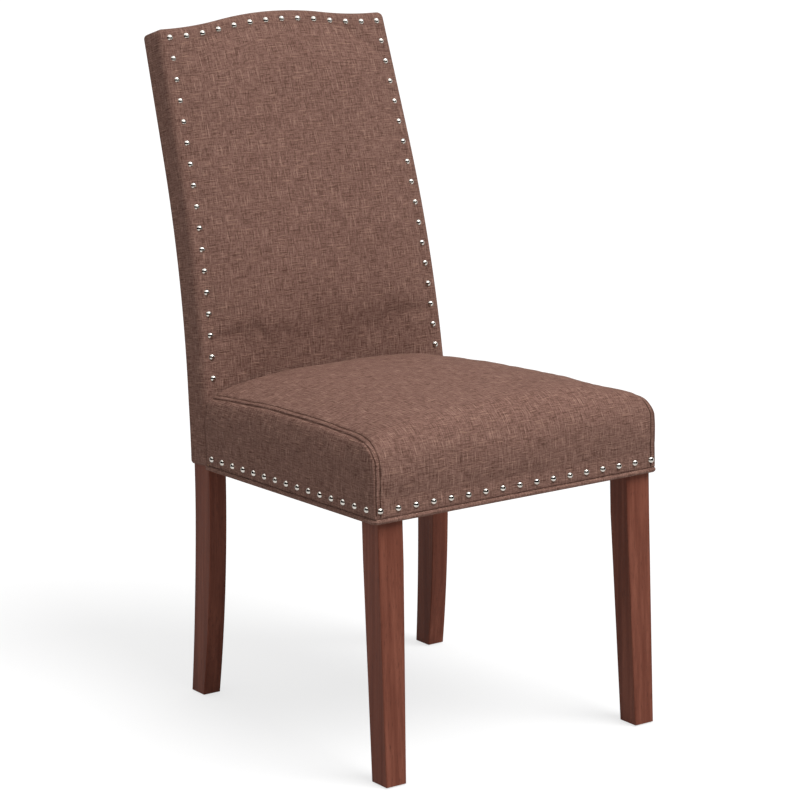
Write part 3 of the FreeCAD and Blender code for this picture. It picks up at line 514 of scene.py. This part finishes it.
def dress(material, *nodes):
    """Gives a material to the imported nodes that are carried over."""
    for node in nodes:
        for material_slot in bpy.data.objects[node].material_slots:
            material_slot.material = material


def seat_to_chair(point):
    """Moves a point from the seat's tilted frame to the chair's."""
    return seat_place @ point


def on_back(x, depth, run):
    """Point at a depth behind the back's front cloth, at a run up it from the waist."""
    angle = min(run / back_bend_radius, back_rake)
    straight = max(run - arc_run, 0)
    radius = back_bend_radius - depth
    y = back_setback + back_bend_radius - radius * math.cos(angle)
    z = waist_height + radius * math.sin(angle)
    y += seat_origin.y + straight * math.sin(back_rake)
    return Vector((x, y, z + straight * math.cos(back_rake)))


def run_at_height(height):
    """Run up the front cloth that reaches a height."""
    arc_top = waist_height + back_bend_radius * math.sin(back_rake)
    if height <= arc_top:
        return back_bend_radius * math.asin((height - waist_height) / back_bend_radius)
    return arc_run + (height - arc_top) / math.cos(back_rake)


def back_side(run):
    """Half the back's width over its cloth, at a run."""
    height = on_back(0, 0, run).z
    if height < post_break_height:
        share = height / post_break_height
        return post_front + mix(post_foot_out, post_seat_out, share)
    top = on_back(0, 0, shoulder_run).z
    share = (height - post_break_height) / (top - post_break_height)
    return post_front + mix(post_seat_out, post_top_out, share)


def crest_lift(x):
    """Height of the crest above the shoulders at x."""
    radius = (crest_half_span ** 2 + crest_rise ** 2) / (4 * crest_rise)
    if abs(x) <= crest_half_span / 2:
        return crest_rise - radius + math.sqrt(radius ** 2 - x ** 2)
    from_end = max(crest_half_span - abs(x), 0)
    return radius - math.sqrt(radius ** 2 - from_end ** 2)


def spread(first, last, count):
    """Evenly spaced values from first to last."""
    return [first + (last - first) * index / (count - 1) for index in range(count)]


def steps(first, last, size):
    """Evenly spaced values from first to last, about size apart."""
    return spread(first, last, max(round(abs(last - first) / size), 1) + 1)


def edge_steps(first, last, radius, size):
    """Places from first to last, closer where both edges turn on a radius."""
    turn = [radius * (1 - math.tan(math.radians(45) * (1 - share))) for share in spread(0, 1, 5)]
    inner = steps(first + radius, last - radius, size)
    return [first + t for t in turn[:-1]] + inner + [last - t for t in turn[-2::-1]]


def mix(a, b, share):
    """Value a share of the way from a to b."""
    return a + (b - a) * share


def smooth(value, low, high):
    """0 below low and 1 above high, with an easy change between."""
    share = min(max((value - low) / (high - low), 0), 1)
    return share * share * (3 - 2 * share)


def arc_through(a, b, c, count):
    """Points along the circle arc from a through b to c, in a plane."""
    ab, ac = b - a, c - a
    cross = 2 * (ab.x * ac.y - ab.y * ac.x)
    ux = (ac.y * ab.length_squared - ab.y * ac.length_squared) / cross
    uy = (ab.x * ac.length_squared - ac.x * ab.length_squared) / cross
    centre = a + Vector((ux, uy))
    start = math.atan2(*(a - centre).yx)
    full = 2 * math.pi
    middle = (math.atan2(*(b - centre).yx) - start) % full
    turn = (math.atan2(*(c - centre).yx) - start) % full
    if middle > turn:
        turn -= full
    radius = (a - centre).length
    return [centre + radius * Vector((math.cos(start + turn * share),
                                      math.sin(start + turn * share)))
            for share in spread(0, 1, count)]


def along(points):
    """Distance of each point along the line that they make."""
    lengths = [0.0]
    for a, b in zip(points, points[1:]):
        lengths.append(lengths[-1] + (b - a).length)
    return lengths


class Patchwork:
    """Mesh made of grids that share their edges, with cloth places in its UV map."""

    def __init__(self):
        self.mesh = bmesh.new()
        self.uv = self.mesh.loops.layers.uv.new("weave")
        self.from_edge = self.mesh.verts.layers.float.new("from_edge")

    def grid(self, rows):
        """Adds a grid of (point, place on the cloth, distance from a seam or edge)."""
        verts = []
        for row in rows:
            verts.append([])
            for point, _, distance in row:
                vert = self.mesh.verts.new(point)
                vert[self.from_edge] = distance
                verts[-1].append(vert)
        for i in range(len(rows) - 1):
            for j in range(len(rows[0]) - 1):
                corners = [(i, j), (i + 1, j), (i + 1, j + 1), (i, j + 1)]
                face = self.mesh.faces.new([verts[a][b] for a, b in corners])
                face.smooth = True
                for loop, (a, b) in zip(face.loops, corners):
                    loop[self.uv].uv = rows[a][b][1]

    def finish(self, name, gap):
        """Welds the grids within a gap, turns the faces outwards and makes the object."""
        bmesh.ops.remove_doubles(self.mesh, verts=self.mesh.verts, dist=gap)
        bmesh.ops.recalc_face_normals(self.mesh, faces=self.mesh.faces)
        data = bpy.data.meshes.new(name)
        self.mesh.to_mesh(data)
        self.mesh.free()
        piece = bpy.data.objects.new(name, data)
        bpy.context.scene.collection.objects.link(piece)
        return piece


def select_only(piece):
    """Makes the piece the one that operators act on."""
    bpy.ops.object.select_all(action="DESELECT")
    piece.select_set(True)
    bpy.context.view_layer.objects.active = piece


def apply_all(piece):
    """Applies the piece's modifiers in order."""
    select_only(piece)
    for modifier in list(piece.modifiers):
        bpy.ops.object.modifier_apply(modifier=modifier.name)


def swell(piece, held, limit, slack):
    """Fills the piece like a stuffed cover, held where the list says, by at most limit."""
    rest = [vert.co.copy() for vert in piece.data.vertices]
    pins = piece.vertex_groups.new(name="held")
    for index, weight in enumerate(held):
        if weight > 0:
            pins.add([index], weight, "REPLACE")
    cover = piece.modifiers.new("swell", "CLOTH")
    cover.settings.quality = 5
    cover.settings.mass = 0.3
    cover.settings.tension_stiffness = 15
    cover.settings.compression_stiffness = 15
    cover.settings.shear_stiffness = 5
    cover.settings.bending_stiffness = 0.5
    cover.settings.use_pressure = True
    cover.settings.uniform_pressure_force = padding_pressure
    cover.settings.shrink_min = -slack
    cover.settings.vertex_group_mass = "held"
    cover.settings.effector_weights.gravity = 0
    cover.collision_settings.use_collision = False
    for number in range(1, swell_frames + 1):
        bpy.context.scene.frame_set(number)
    apply_all(piece)
    bpy.context.scene.frame_set(1)
    # The swell fades out towards its limit, so that no flat spot shows where it is reached
    for vert, start in zip(piece.data.vertices, rest):
        move = vert.co - start
        if move.length > 0:
            eased = limit * math.tanh(move.length / limit)
            vert.co = start + move * (eased / move.length)
    piece.vertex_groups.clear()


def refine(piece):
    """One level of subdivision, applied."""
    finer = piece.modifiers.new("finer", "SUBSURF")
    finer.levels = finer.render_levels = 1
    apply_all(piece)


def press_grooves(piece, grooves):
    """Pulls the cloth in along lines at set distances from the seam."""
    distances = piece.data.attributes["from_edge"].data
    normals = [vert.normal.copy() for vert in piece.data.vertices]
    for index, vert in enumerate(piece.data.vertices):
        distance = distances[index].value
        for place, depth in grooves:
            near = max(1 - abs(distance - place) / groove_half_width, 0)
            vert.co -= normals[index] * (depth * near * near * (3 - 2 * near))


def ripple(piece, size, height, where):
    """Slight unevenness of stuffed cloth, where the weight function lets it be."""
    normals = [vert.normal.copy() for vert in piece.data.vertices]
    for index, vert in enumerate(piece.data.vertices):
        weight = where(vert.co, index)
        if weight > 0:
            vert.co += normals[index] * (noise.noise(vert.co / size) * height * weight)


def seat_half(y):
    """Half the seat's width over its cloth, at a distance behind its front."""
    return seat_width_front / 2 - seat_taper * y


def seat_profile(share):
    """Outline of the seat cloth from hem over shoulder to rear, and where it turns level."""
    # The crown is full over the middle of the seat, and dips close to the seams
    crown = seat_crown * (1 - abs(share) ** 3) - seam_dip * abs(share) ** 10
    edge = seat_edge_height + front_edge_crown_share * crown
    shoulder = seat_side_height - seat_shoulder_drop + shoulder_crown_share * crown
    hem = Vector((0, seat_bottom))
    band = Vector((0, seat_band_height))
    bulge = Vector((-seat_front_bulge, (seat_band_height + edge) / 2))
    edge_start = Vector((-seat_front_bulge / 3, edge))
    inwards, upwards = shoulder_round
    round_middle = Vector((inwards * seat_shoulder_depth, mix(edge, shoulder, upwards)))
    round_end = Vector((seat_shoulder_depth, shoulder))
    top_middle = Vector((crown_peak_share * seat_length, seat_side_height + crown))
    top_rear = Vector((seat_length + seat_rear_lean, seat_rear_height + crown))
    points = [hem.lerp(band, s) for s in spread(0, 1, foot_points)[:-1]]
    points += arc_through(band, bulge, edge_start, front_points)[:-1]
    points += arc_through(edge_start, round_middle, round_end, shoulder_points)[:-1]
    return points + arc_through(round_end, top_middle, top_rear, top_points), len(points)


def across_seat():
    """Shares of the half width at which the seat's grid has its lines."""
    half = seat_width_front / 2
    near = [0, groove_half_width, 2 * groove_half_width, topstitch_offset - groove_half_width,
            topstitch_offset, topstitch_offset + groove_half_width, topstitch_clear]
    right = [1 - distance / half for distance in near]
    middle = steps(-right[-1], right[-1], seat_grid / half)
    return [-share for share in right[:-1]] + middle + right[-2::-1]


def make_seat_cushion(cloth_finish):
    """Seat cushion in its cover: a centre panel over the front, and two side panels."""
    work = Patchwork()
    shares = across_seat()
    seam, turned = seat_profile(1)
    seam_tree = KDTree(len(seam))
    for index, point in enumerate(seam):
        seam_tree.insert(point.to_3d(), index)
    seam_tree.balance()

    def side_face(point):
        """Half width of the cover at a point of the side, and its distance to the seam."""
        _, index, distance = seam_tree.find(point.to_3d())
        on_top = smooth(seam[index].x, side_roll_start, side_roll_full)
        inwards = mix(corner_roll_in, side_roll_in, on_top)
        rolled = max(1 - distance / mix(corner_roll_down, side_roll_down, on_top), 0)
        bow = seat_side_bulge * math.sin(math.pi * min(point.y / seat_side_height, 1))
        inwards *= 1 - math.sqrt(1 - rolled ** 2)
        inwards += rear_roll_in * smooth(point.x, rear_roll_start, rear_roll_end)
        bow *= smooth(distance, 0, side_bulge_fade)
        return seat_half(point.x) - inwards + bow, distance

    # Centre panel, from the hem up the front and over the seat
    seam_halves = [side_face(point)[0] for point in seam]
    profiles = [seat_profile(share)[0] for share in shares]
    rows = []
    for share, profile in zip(shares, profiles):
        row = []
        for point, half, length in zip(profile, seam_halves, along(profile)):
            place = seat_to_chair(Vector((share * half, point.x, point.y)))
            row.append((place, (share * half, length), (1 - abs(share)) * half))
        rows.append(row)
    work.grid(rows)

    # Side panels: fans from the front seam to an upright, then uprights to the rear
    upright = seam[turned]
    lengths = along(seam)
    heights = [mix(seam[0].y, upright.y, lengths[m] / lengths[turned])
               for m in range(turned + 1)]
    fan_lines = (0, groove_half_width, 2 * groove_half_width, 0.008, 0.014, 0.021, 0.028)
    columns = []
    for distance in fan_lines:
        columns.append([seam[m].lerp(Vector((upright.x, heights[m])),
                                     distance / seat_shoulder_depth)
                        for m in range(turned + 1)])
    for index in range(turned, len(seam)):
        top = seam[index]
        lean = seat_foot_lean * (index - turned) / (len(seam) - 1 - turned)
        levels = [(height - seam[0].y) / (upright.y - seam[0].y) for height in heights]
        columns.append([Vector((top.x - lean * (1 - level), mix(seam[0].y, top.y, level)))
                        for level in levels])
    halves = [[side_face(point) for point in column] for column in columns]
    for side in (-1, 1):
        rows = []
        for column, widths in zip(columns, halves):
            # Distances count below zero here, on the side of the seam without topstitching
            rows.append([(seat_to_chair(Vector((side * half, point.x, point.y))),
                          (point.x, point.y), -distance)
                         for point, (half, distance) in zip(column, widths)])
        work.grid(rows)

    # Rear, against the back, and underside, over the rails
    rear, under = [], []
    for share, profile in zip(shares, profiles):
        row = []
        for point, (half, _) in zip(columns[-1], halves[-1]):
            level = (point.y - seam[0].y) / (seam[-1].y - seam[0].y)
            height = mix(seam[0].y, profile[-1].y, level)
            row.append((seat_to_chair(Vector((share * half, point.x, height))),
                        (share * half, height), far_from_seam))
        rear.append(row)
        row = []
        for column, widths in zip(columns, halves):
            x = share * widths[0][0]
            row.append((seat_to_chair(Vector((x, column[0].x, column[0].y))),
                        (x, column[0].x), far_from_seam))
        under.append(row)
    work.grid(rear)
    work.grid(under)
    cushion = work.finish("seat_cushion", weld_gap)

    # The seams, the nailed foot, the rear and the underside don't swell
    to_seat = seat_place.inverted()
    held = []
    for vert, edge in zip(cushion.data.vertices, cushion.data.attributes["from_edge"].data):
        point = to_seat @ vert.co
        at_seam = 1 - smooth(abs(edge.value), 0.0, seat_held_fade)
        at_foot = 1 - smooth(point.z, seat_band_held, seat_band_held + seat_held_fade)
        at_rear = smooth(point.y, seat_length - seat_rear_held, seat_length)
        held.append(max(at_seam, at_foot, at_rear))
    swell(cushion, held, seat_swell, seat_slack)
    refine(cushion)
    press_grooves(cushion, [(0, seam_groove_depth), (topstitch_offset, stitch_groove_depth)])

    def loose(point, index):
        height = (to_seat @ point).z
        return smooth(height, seat_band_held, seat_edge_height)

    for size, height in seat_ripples:
        ripple(cushion, size, height, loose)
    cushion.data.materials.append(cloth_finish)
    return cushion


def back_nails():
    """Where the nails of the back stand, as (x, run)."""
    side = back_side(shoulder_run)
    row_half = side - back_nail_side_inset
    row = [(x, shoulder_run - back_nail_top_inset + crest_lift(x))
           for x in spread(-row_half, row_half, back_row_nails)]
    top = row[0][1] - back_nail_side_inset
    columns = [(sign * (back_side(run) - back_nail_side_inset), run)
               for sign in (-1, 1)
               for run in spread(top, run_at_height(back_column_bottom), back_column_nails)]
    return row + columns


def from_box(point):
    """Moves a point of the back's straightened box onto the curved back."""
    run = point.z
    x = point.x * (back_side(run) + back_puff) / back_nominal_half
    run += crest_lift(x) * smooth(run, shoulder_run - crest_blend, shoulder_run - crest_full)
    return on_back(x, point.y, run)


def rounded_box(work, low, high, radii, sizes, crown=None):
    """Adds a box of the back's space, its edges rounded by a front and a rear radius."""
    xs, depths, runs = [edge_steps(low[i], high[i], radii[0], sizes[i]) for i in range(3)]

    def soften(x, depth, run):
        # The front radius passes into the rear one over the middle half of the depth
        rearward = smooth(depth, mix(low.y, high.y, 0.25), mix(low.y, high.y, 0.75))
        radius = mix(*radii, rearward)
        point = Vector((x, depth, run))
        inner = Vector([min(max(value, a + radius), b - radius)
                        for value, a, b in zip(point, low, high)])
        point = inner + (point - inner).normalized() * radius
        if crown:
            point.y -= crown(x, depth, run)
        # Distance to the nearest edge of the front, and below zero off the front
        inside = min(x - low.x, high.x - x, high.z - run) if depth == low.y else -1.0
        # The weave runs on over the sides and the top
        place = (x + math.copysign(depth, x) if abs(x) == high.x else x,
                 run + depth if run == high.z else run)
        return from_box(point), place, inside

    for depth in (low.y, high.y):
        work.grid([[soften(x, depth, run) for run in runs] for x in xs])
    for x in (low.x, high.x):
        work.grid([[soften(x, depth, run) for run in runs] for depth in depths])
    for run in (low.z, high.z):
        work.grid([[soften(x, depth, run) for depth in depths] for x in xs])


def make_back_cushion(cloth_finish):
    """Back in its inside cover, which wraps the sides and the top over the padding."""
    low = Vector((-back_nominal_half, 0, run_at_height(back_cover_bottom)))
    high = Vector((back_nominal_half, back_board_depth, shoulder_run + back_top_puff))

    def crown(x, depth, run):
        if depth > 0:
            return 0
        from_side = smooth(high.x - abs(x), back_crown_margin,
                           back_crown_margin + back_crown_slope)
        from_top = smooth(high.z - run, back_crown_margin, back_crown_margin + back_crown_slope)
        from_seat = smooth(run, behind_seat_run - behind_seat_below,
                           behind_seat_run + back_crown_above_seat)
        return back_crown * from_side * from_top * from_seat

    work = Patchwork()
    radii = (back_edge_radius, back_rear_edge_radius)
    rounded_box(work, low, high, radii, back_grid, crown)
    cushion = work.finish("back_cushion", weld_gap)

    # Nails hold the cover to the frame; outside their rows it lies tight on the posts
    nails = back_nails()
    nail_tree = KDTree(len(nails))
    for index, (x, run) in enumerate(nails):
        nail_tree.insert(on_back(x, 0, run), index)
    nail_tree.balance()
    seat_line = on_back(0, 0, behind_seat_run).z
    held = []
    for vert, edge in zip(cushion.data.vertices, cushion.data.attributes["from_edge"].data):
        at_edge = 1 - smooth(edge.value, back_edge_held, back_edge_held + back_held_fade)
        at_nail = 1 - smooth(nail_tree.find(vert.co)[2], nail_hold_radius,
                             nail_hold_radius + back_held_fade)
        at_seat = 1 - smooth(vert.co.z, seat_line - behind_seat_below,
                             seat_line + behind_seat_above)
        held.append(max(at_edge, at_nail, at_seat))
    swell(cushion, held, back_swell, back_slack)
    refine(cushion)

    distances = cushion.data.attributes["from_edge"].data

    def loose(point, index):
        return smooth(distances[index].value, back_loose_from, back_loose_full)

    for size, height in back_ripples:
        ripple(cushion, size, height, loose)
    cushion.data.materials.append(cloth_finish)
    return cushion


def make_back_outside_panel(cloth_finish):
    """Outside back panel: cloth turned in and sewn down inside the back's edge."""
    low = Vector((-back_nominal_half + panel_inset, back_board_depth - panel_tuck,
                  run_at_height(back_cover_bottom) + panel_inset / 2))
    high = Vector((back_nominal_half - panel_inset, back_depth, shoulder_run - panel_inset))
    work = Patchwork()
    radii = (panel_edge_radius, panel_edge_radius)
    rounded_box(work, low, high, radii, panel_grid)
    panel = work.finish("back_outside_panel", panel_weld_gap)
    refine(panel)
    panel.data.materials.append(cloth_finish)
    return panel


def make_seat_piping(cloth_finish):
    """Cloth-covered cord round the foot of the seat: one side, the front, the other."""
    taper = math.atan(seat_taper)
    # It runs on past the cushion's foot, towards the back
    rear_y = seat_length + piping_past_seat
    side_in = front_y = piping_radius - piping_proud
    turn = math.radians(90) + taper
    start = Vector((side_in - seat_half(rear_y), rear_y, piping_radius))
    ahead = Vector((-math.sin(taper), -math.cos(taper), 0))
    bpy.ops.object.select_all(action="DESELECT")
    bpy.ops.mesh.primitive_circle_add(vertices=piping_sides, radius=piping_radius,
                                      fill_type="NGON", location=start,
                                      rotation=(math.radians(90), 0, -taper))
    piping = bpy.context.object
    piping.name = "seat_piping"
    bpy.ops.object.transform_apply(location=True, rotation=True, scale=True)
    bpy.ops.object.mode_set(mode="EDIT")
    bpy.ops.mesh.select_all(action="SELECT")

    def onwards(direction, length):
        bpy.ops.mesh.extrude_region_move(
            TRANSFORM_OT_translate={"value": direction * length})

    def bend(centre):
        bpy.ops.mesh.spin(steps=piping_corner_steps, angle=-turn, center=centre,
                          axis=(0, 0, 1))

    # Where the side line is one corner radius short of turning onto the front line
    cut = piping_corner * math.tan(turn / 2)
    side_run = (rear_y - front_y) / math.cos(taper) - cut
    corner_start = start + ahead * side_run
    onwards(ahead, side_run)
    centre = corner_start + Vector((math.cos(taper), -math.sin(taper), 0)) * piping_corner
    bend(centre)
    onwards(Vector((1, 0, 0)), -2 * centre.x)
    bend(Vector((-centre.x, centre.y, centre.z)))
    onwards(Vector((-math.sin(taper), math.cos(taper), 0)), side_run)
    bpy.ops.mesh.select_all(action="SELECT")
    bpy.ops.mesh.normals_make_consistent(inside=False)
    bpy.ops.uv.cube_project(cube_size=1.0, scale_to_bounds=False)
    bpy.ops.object.mode_set(mode="OBJECT")
    piping.data.uv_layers[0].name = "weave"
    piping.data.transform(seat_place)
    bpy.ops.object.shade_smooth_by_angle(angle=math.radians(50))
    piping.data.materials.append(cloth_finish)
    return piping


def make_dust_cover(finish):
    """Thin cloth stapled under the seat frame, with a slight sag between the rails."""
    work = Patchwork()
    ys = steps(dust_cover_front, dust_cover_rear, dust_cover_grid)
    shares = spread(-1, 1, dust_cover_lines)
    middle = (dust_cover_front + dust_cover_rear) / 2
    reach = (dust_cover_rear - dust_cover_front) / 2

    def layer(level):
        rows = []
        for share in shares:
            row = []
            for y in ys:
                x = share * (seat_half(y) - dust_cover_inset)
                over_rail = max(abs(share), abs(y - middle) / reach)
                held_up = smooth(over_rail, sag_full_within, sag_none_beyond)
                sag = dust_cover_sag * (1 - held_up)
                row.append((seat_to_chair(Vector((x, y, level - sag))), (x, y), far_from_seam))
            rows.append(row)
        return rows

    top, bottom = layer(0.0), layer(-dust_cover_thickness)
    work.grid(top)
    work.grid(bottom)
    work.grid([top[0], bottom[0]])
    work.grid([top[-1], bottom[-1]])
    work.grid([[row[0] for row in top], [row[0] for row in bottom]])
    work.grid([[row[-1] for row in top], [row[-1] for row in bottom]])
    cover = work.finish("dust_cover_cloth", dust_cover_weld_gap)
    cover.data.materials.append(finish)
    return cover


def hand_over(piece, slot, *nodes):
    """Rides the piece on the chair's one body and hides its nodes; the slot is not used."""
    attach(piece, "root")
    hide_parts(*nodes)


bpy.ops.object.select_all(action="DESELECT")
bpy.context.scene.view_settings.view_transform = "Standard"
make_world()
make_light("key_light", key_level, key_softness, key_turn)
make_light("overhead_light", overhead_level, overhead_softness, (0, 0, 0))
make_floor()
make_flags()
make_camera()

# Stained hardwood: red-brown, with faint streaks and hardly any gloss
leg_stain = ("stained_leg_wood", "Z", "#613529", "#7c4a3b", "#3a2018", 0.36, 0.02)
dress(make_wood(*leg_stain), "rear_post_left", "rear_post_right", "front_leg_left",
      "front_leg_right")

# Planed softwood of the hidden frame: pale and bare, so it is matt
pale = ("#b08d62", "#c9a97c", "#8d6a44", 0.62, 0.0)
dress(make_wood("frame_wood_crosswise", "X", *pale), "seat_rail_front", "seat_rail_rear",
      "crest_rail", "back_rail_middle", "back_rail_lower")
dress(make_wood("frame_wood_lengthwise", "Y", *pale), "seat_rail_left", "seat_rail_right",
      "seat_frame_dowels", "back_frame_dowels")
dress(make_wood("frame_wood_blocks", "Z", *pale), "corner_block_front_left",
      "corner_block_front_right", "corner_block_rear_left", "corner_block_rear_right")

# Nickel-plated steel heads, polished: bright and warm grey, with sharp reflections
dress(make_metal("polished_nickel_nails", "#cdc8c0", "#a8a29a", 0.09, 0.002),
      "back_nails_top", "back_nails_left", "back_nails_right", "seat_nails_front",
      "seat_nails_left", "seat_nails_right")

# Zinc-plated fixings: cool grey with a blurred shine
dress(make_metal("zinc_plated_steel", "#9aa0a6", "#7d8288", 0.34, 0.001),
      "corner_block_screws", "leg_bolts", "leg_bolt_washers", "leg_bolt_nuts",
      "dust_cover_staples")

# Moulded nylon: near black and half matt
dress(make_grained("moulded_nylon_glides", "#2b2a29", "#3a3836", (0.001, 0.001, 0.001), 0.5,
                   0.00005),
      "floor_glide_front_left", "floor_glide_front_right", "floor_glide_rear_left",
      "floor_glide_rear_right")

# Pressed fibre board: brown, flecked and matt
dress(make_grained("pressed_fibre_board", "#6d5440", "#8a6e55", (0.002, 0.002, 0.002), 0.85,
                   0.0002),
      "back_board")

# Cut foam: cream, with a fine open grain
dress(make_grained("pale_seat_foam", "#d8cfa8", "#e6dfc0", (0.0015, 0.0015, 0.0015), 0.9,
                   0.0004),
      "seat_foam", "back_foam")

# Polyester wadding: white and woolly
dress(make_grained("polyester_wadding", "#dedcd6", "#f0eee9", (0.004, 0.004, 0.004), 0.95,
                   0.001),
      "seat_wadding")

# Woven straps: straw brown and ribbed
dress(make_webbing(), "seat_straps_crosswise", "seat_straps_lengthwise", "back_straps")

# Woven cloth with a linen look: heathered brown and matt
woven_cloth = make_woven_cloth("woven_linen_look_cloth", False)
sewn_cloth = make_woven_cloth("woven_linen_look_cloth_with_seams", True)

# Thin nonwoven cloth under the seat: black and matt
dust_cloth = make_grained("black_nonwoven_cloth", "#141414", "#232323",
                          (0.0012, 0.0012, 0.0012), 0.88, 0.0002)

seat_cushion = make_seat_cushion(sewn_cloth)
hand_over(seat_cushion, "woven_cloth", "seat_cover_centre", "seat_cover_left",
          "seat_cover_right", "seat_foam", "seat_wadding")

back_cushion = make_back_cushion(woven_cloth)
hand_over(back_cushion, "woven_cloth", "back_cover_inside", "back_foam")

outside_panel = make_back_outside_panel(woven_cloth)
hand_over(outside_panel, "woven_cloth", "back_cover_outside")

seat_piping = make_seat_piping(woven_cloth)
hand_over(seat_piping, "woven_cloth", "seat_welt")

dust_cover = make_dust_cover(dust_cloth)
hand_over(dust_cover, "dust_cloth", "dust_cover")
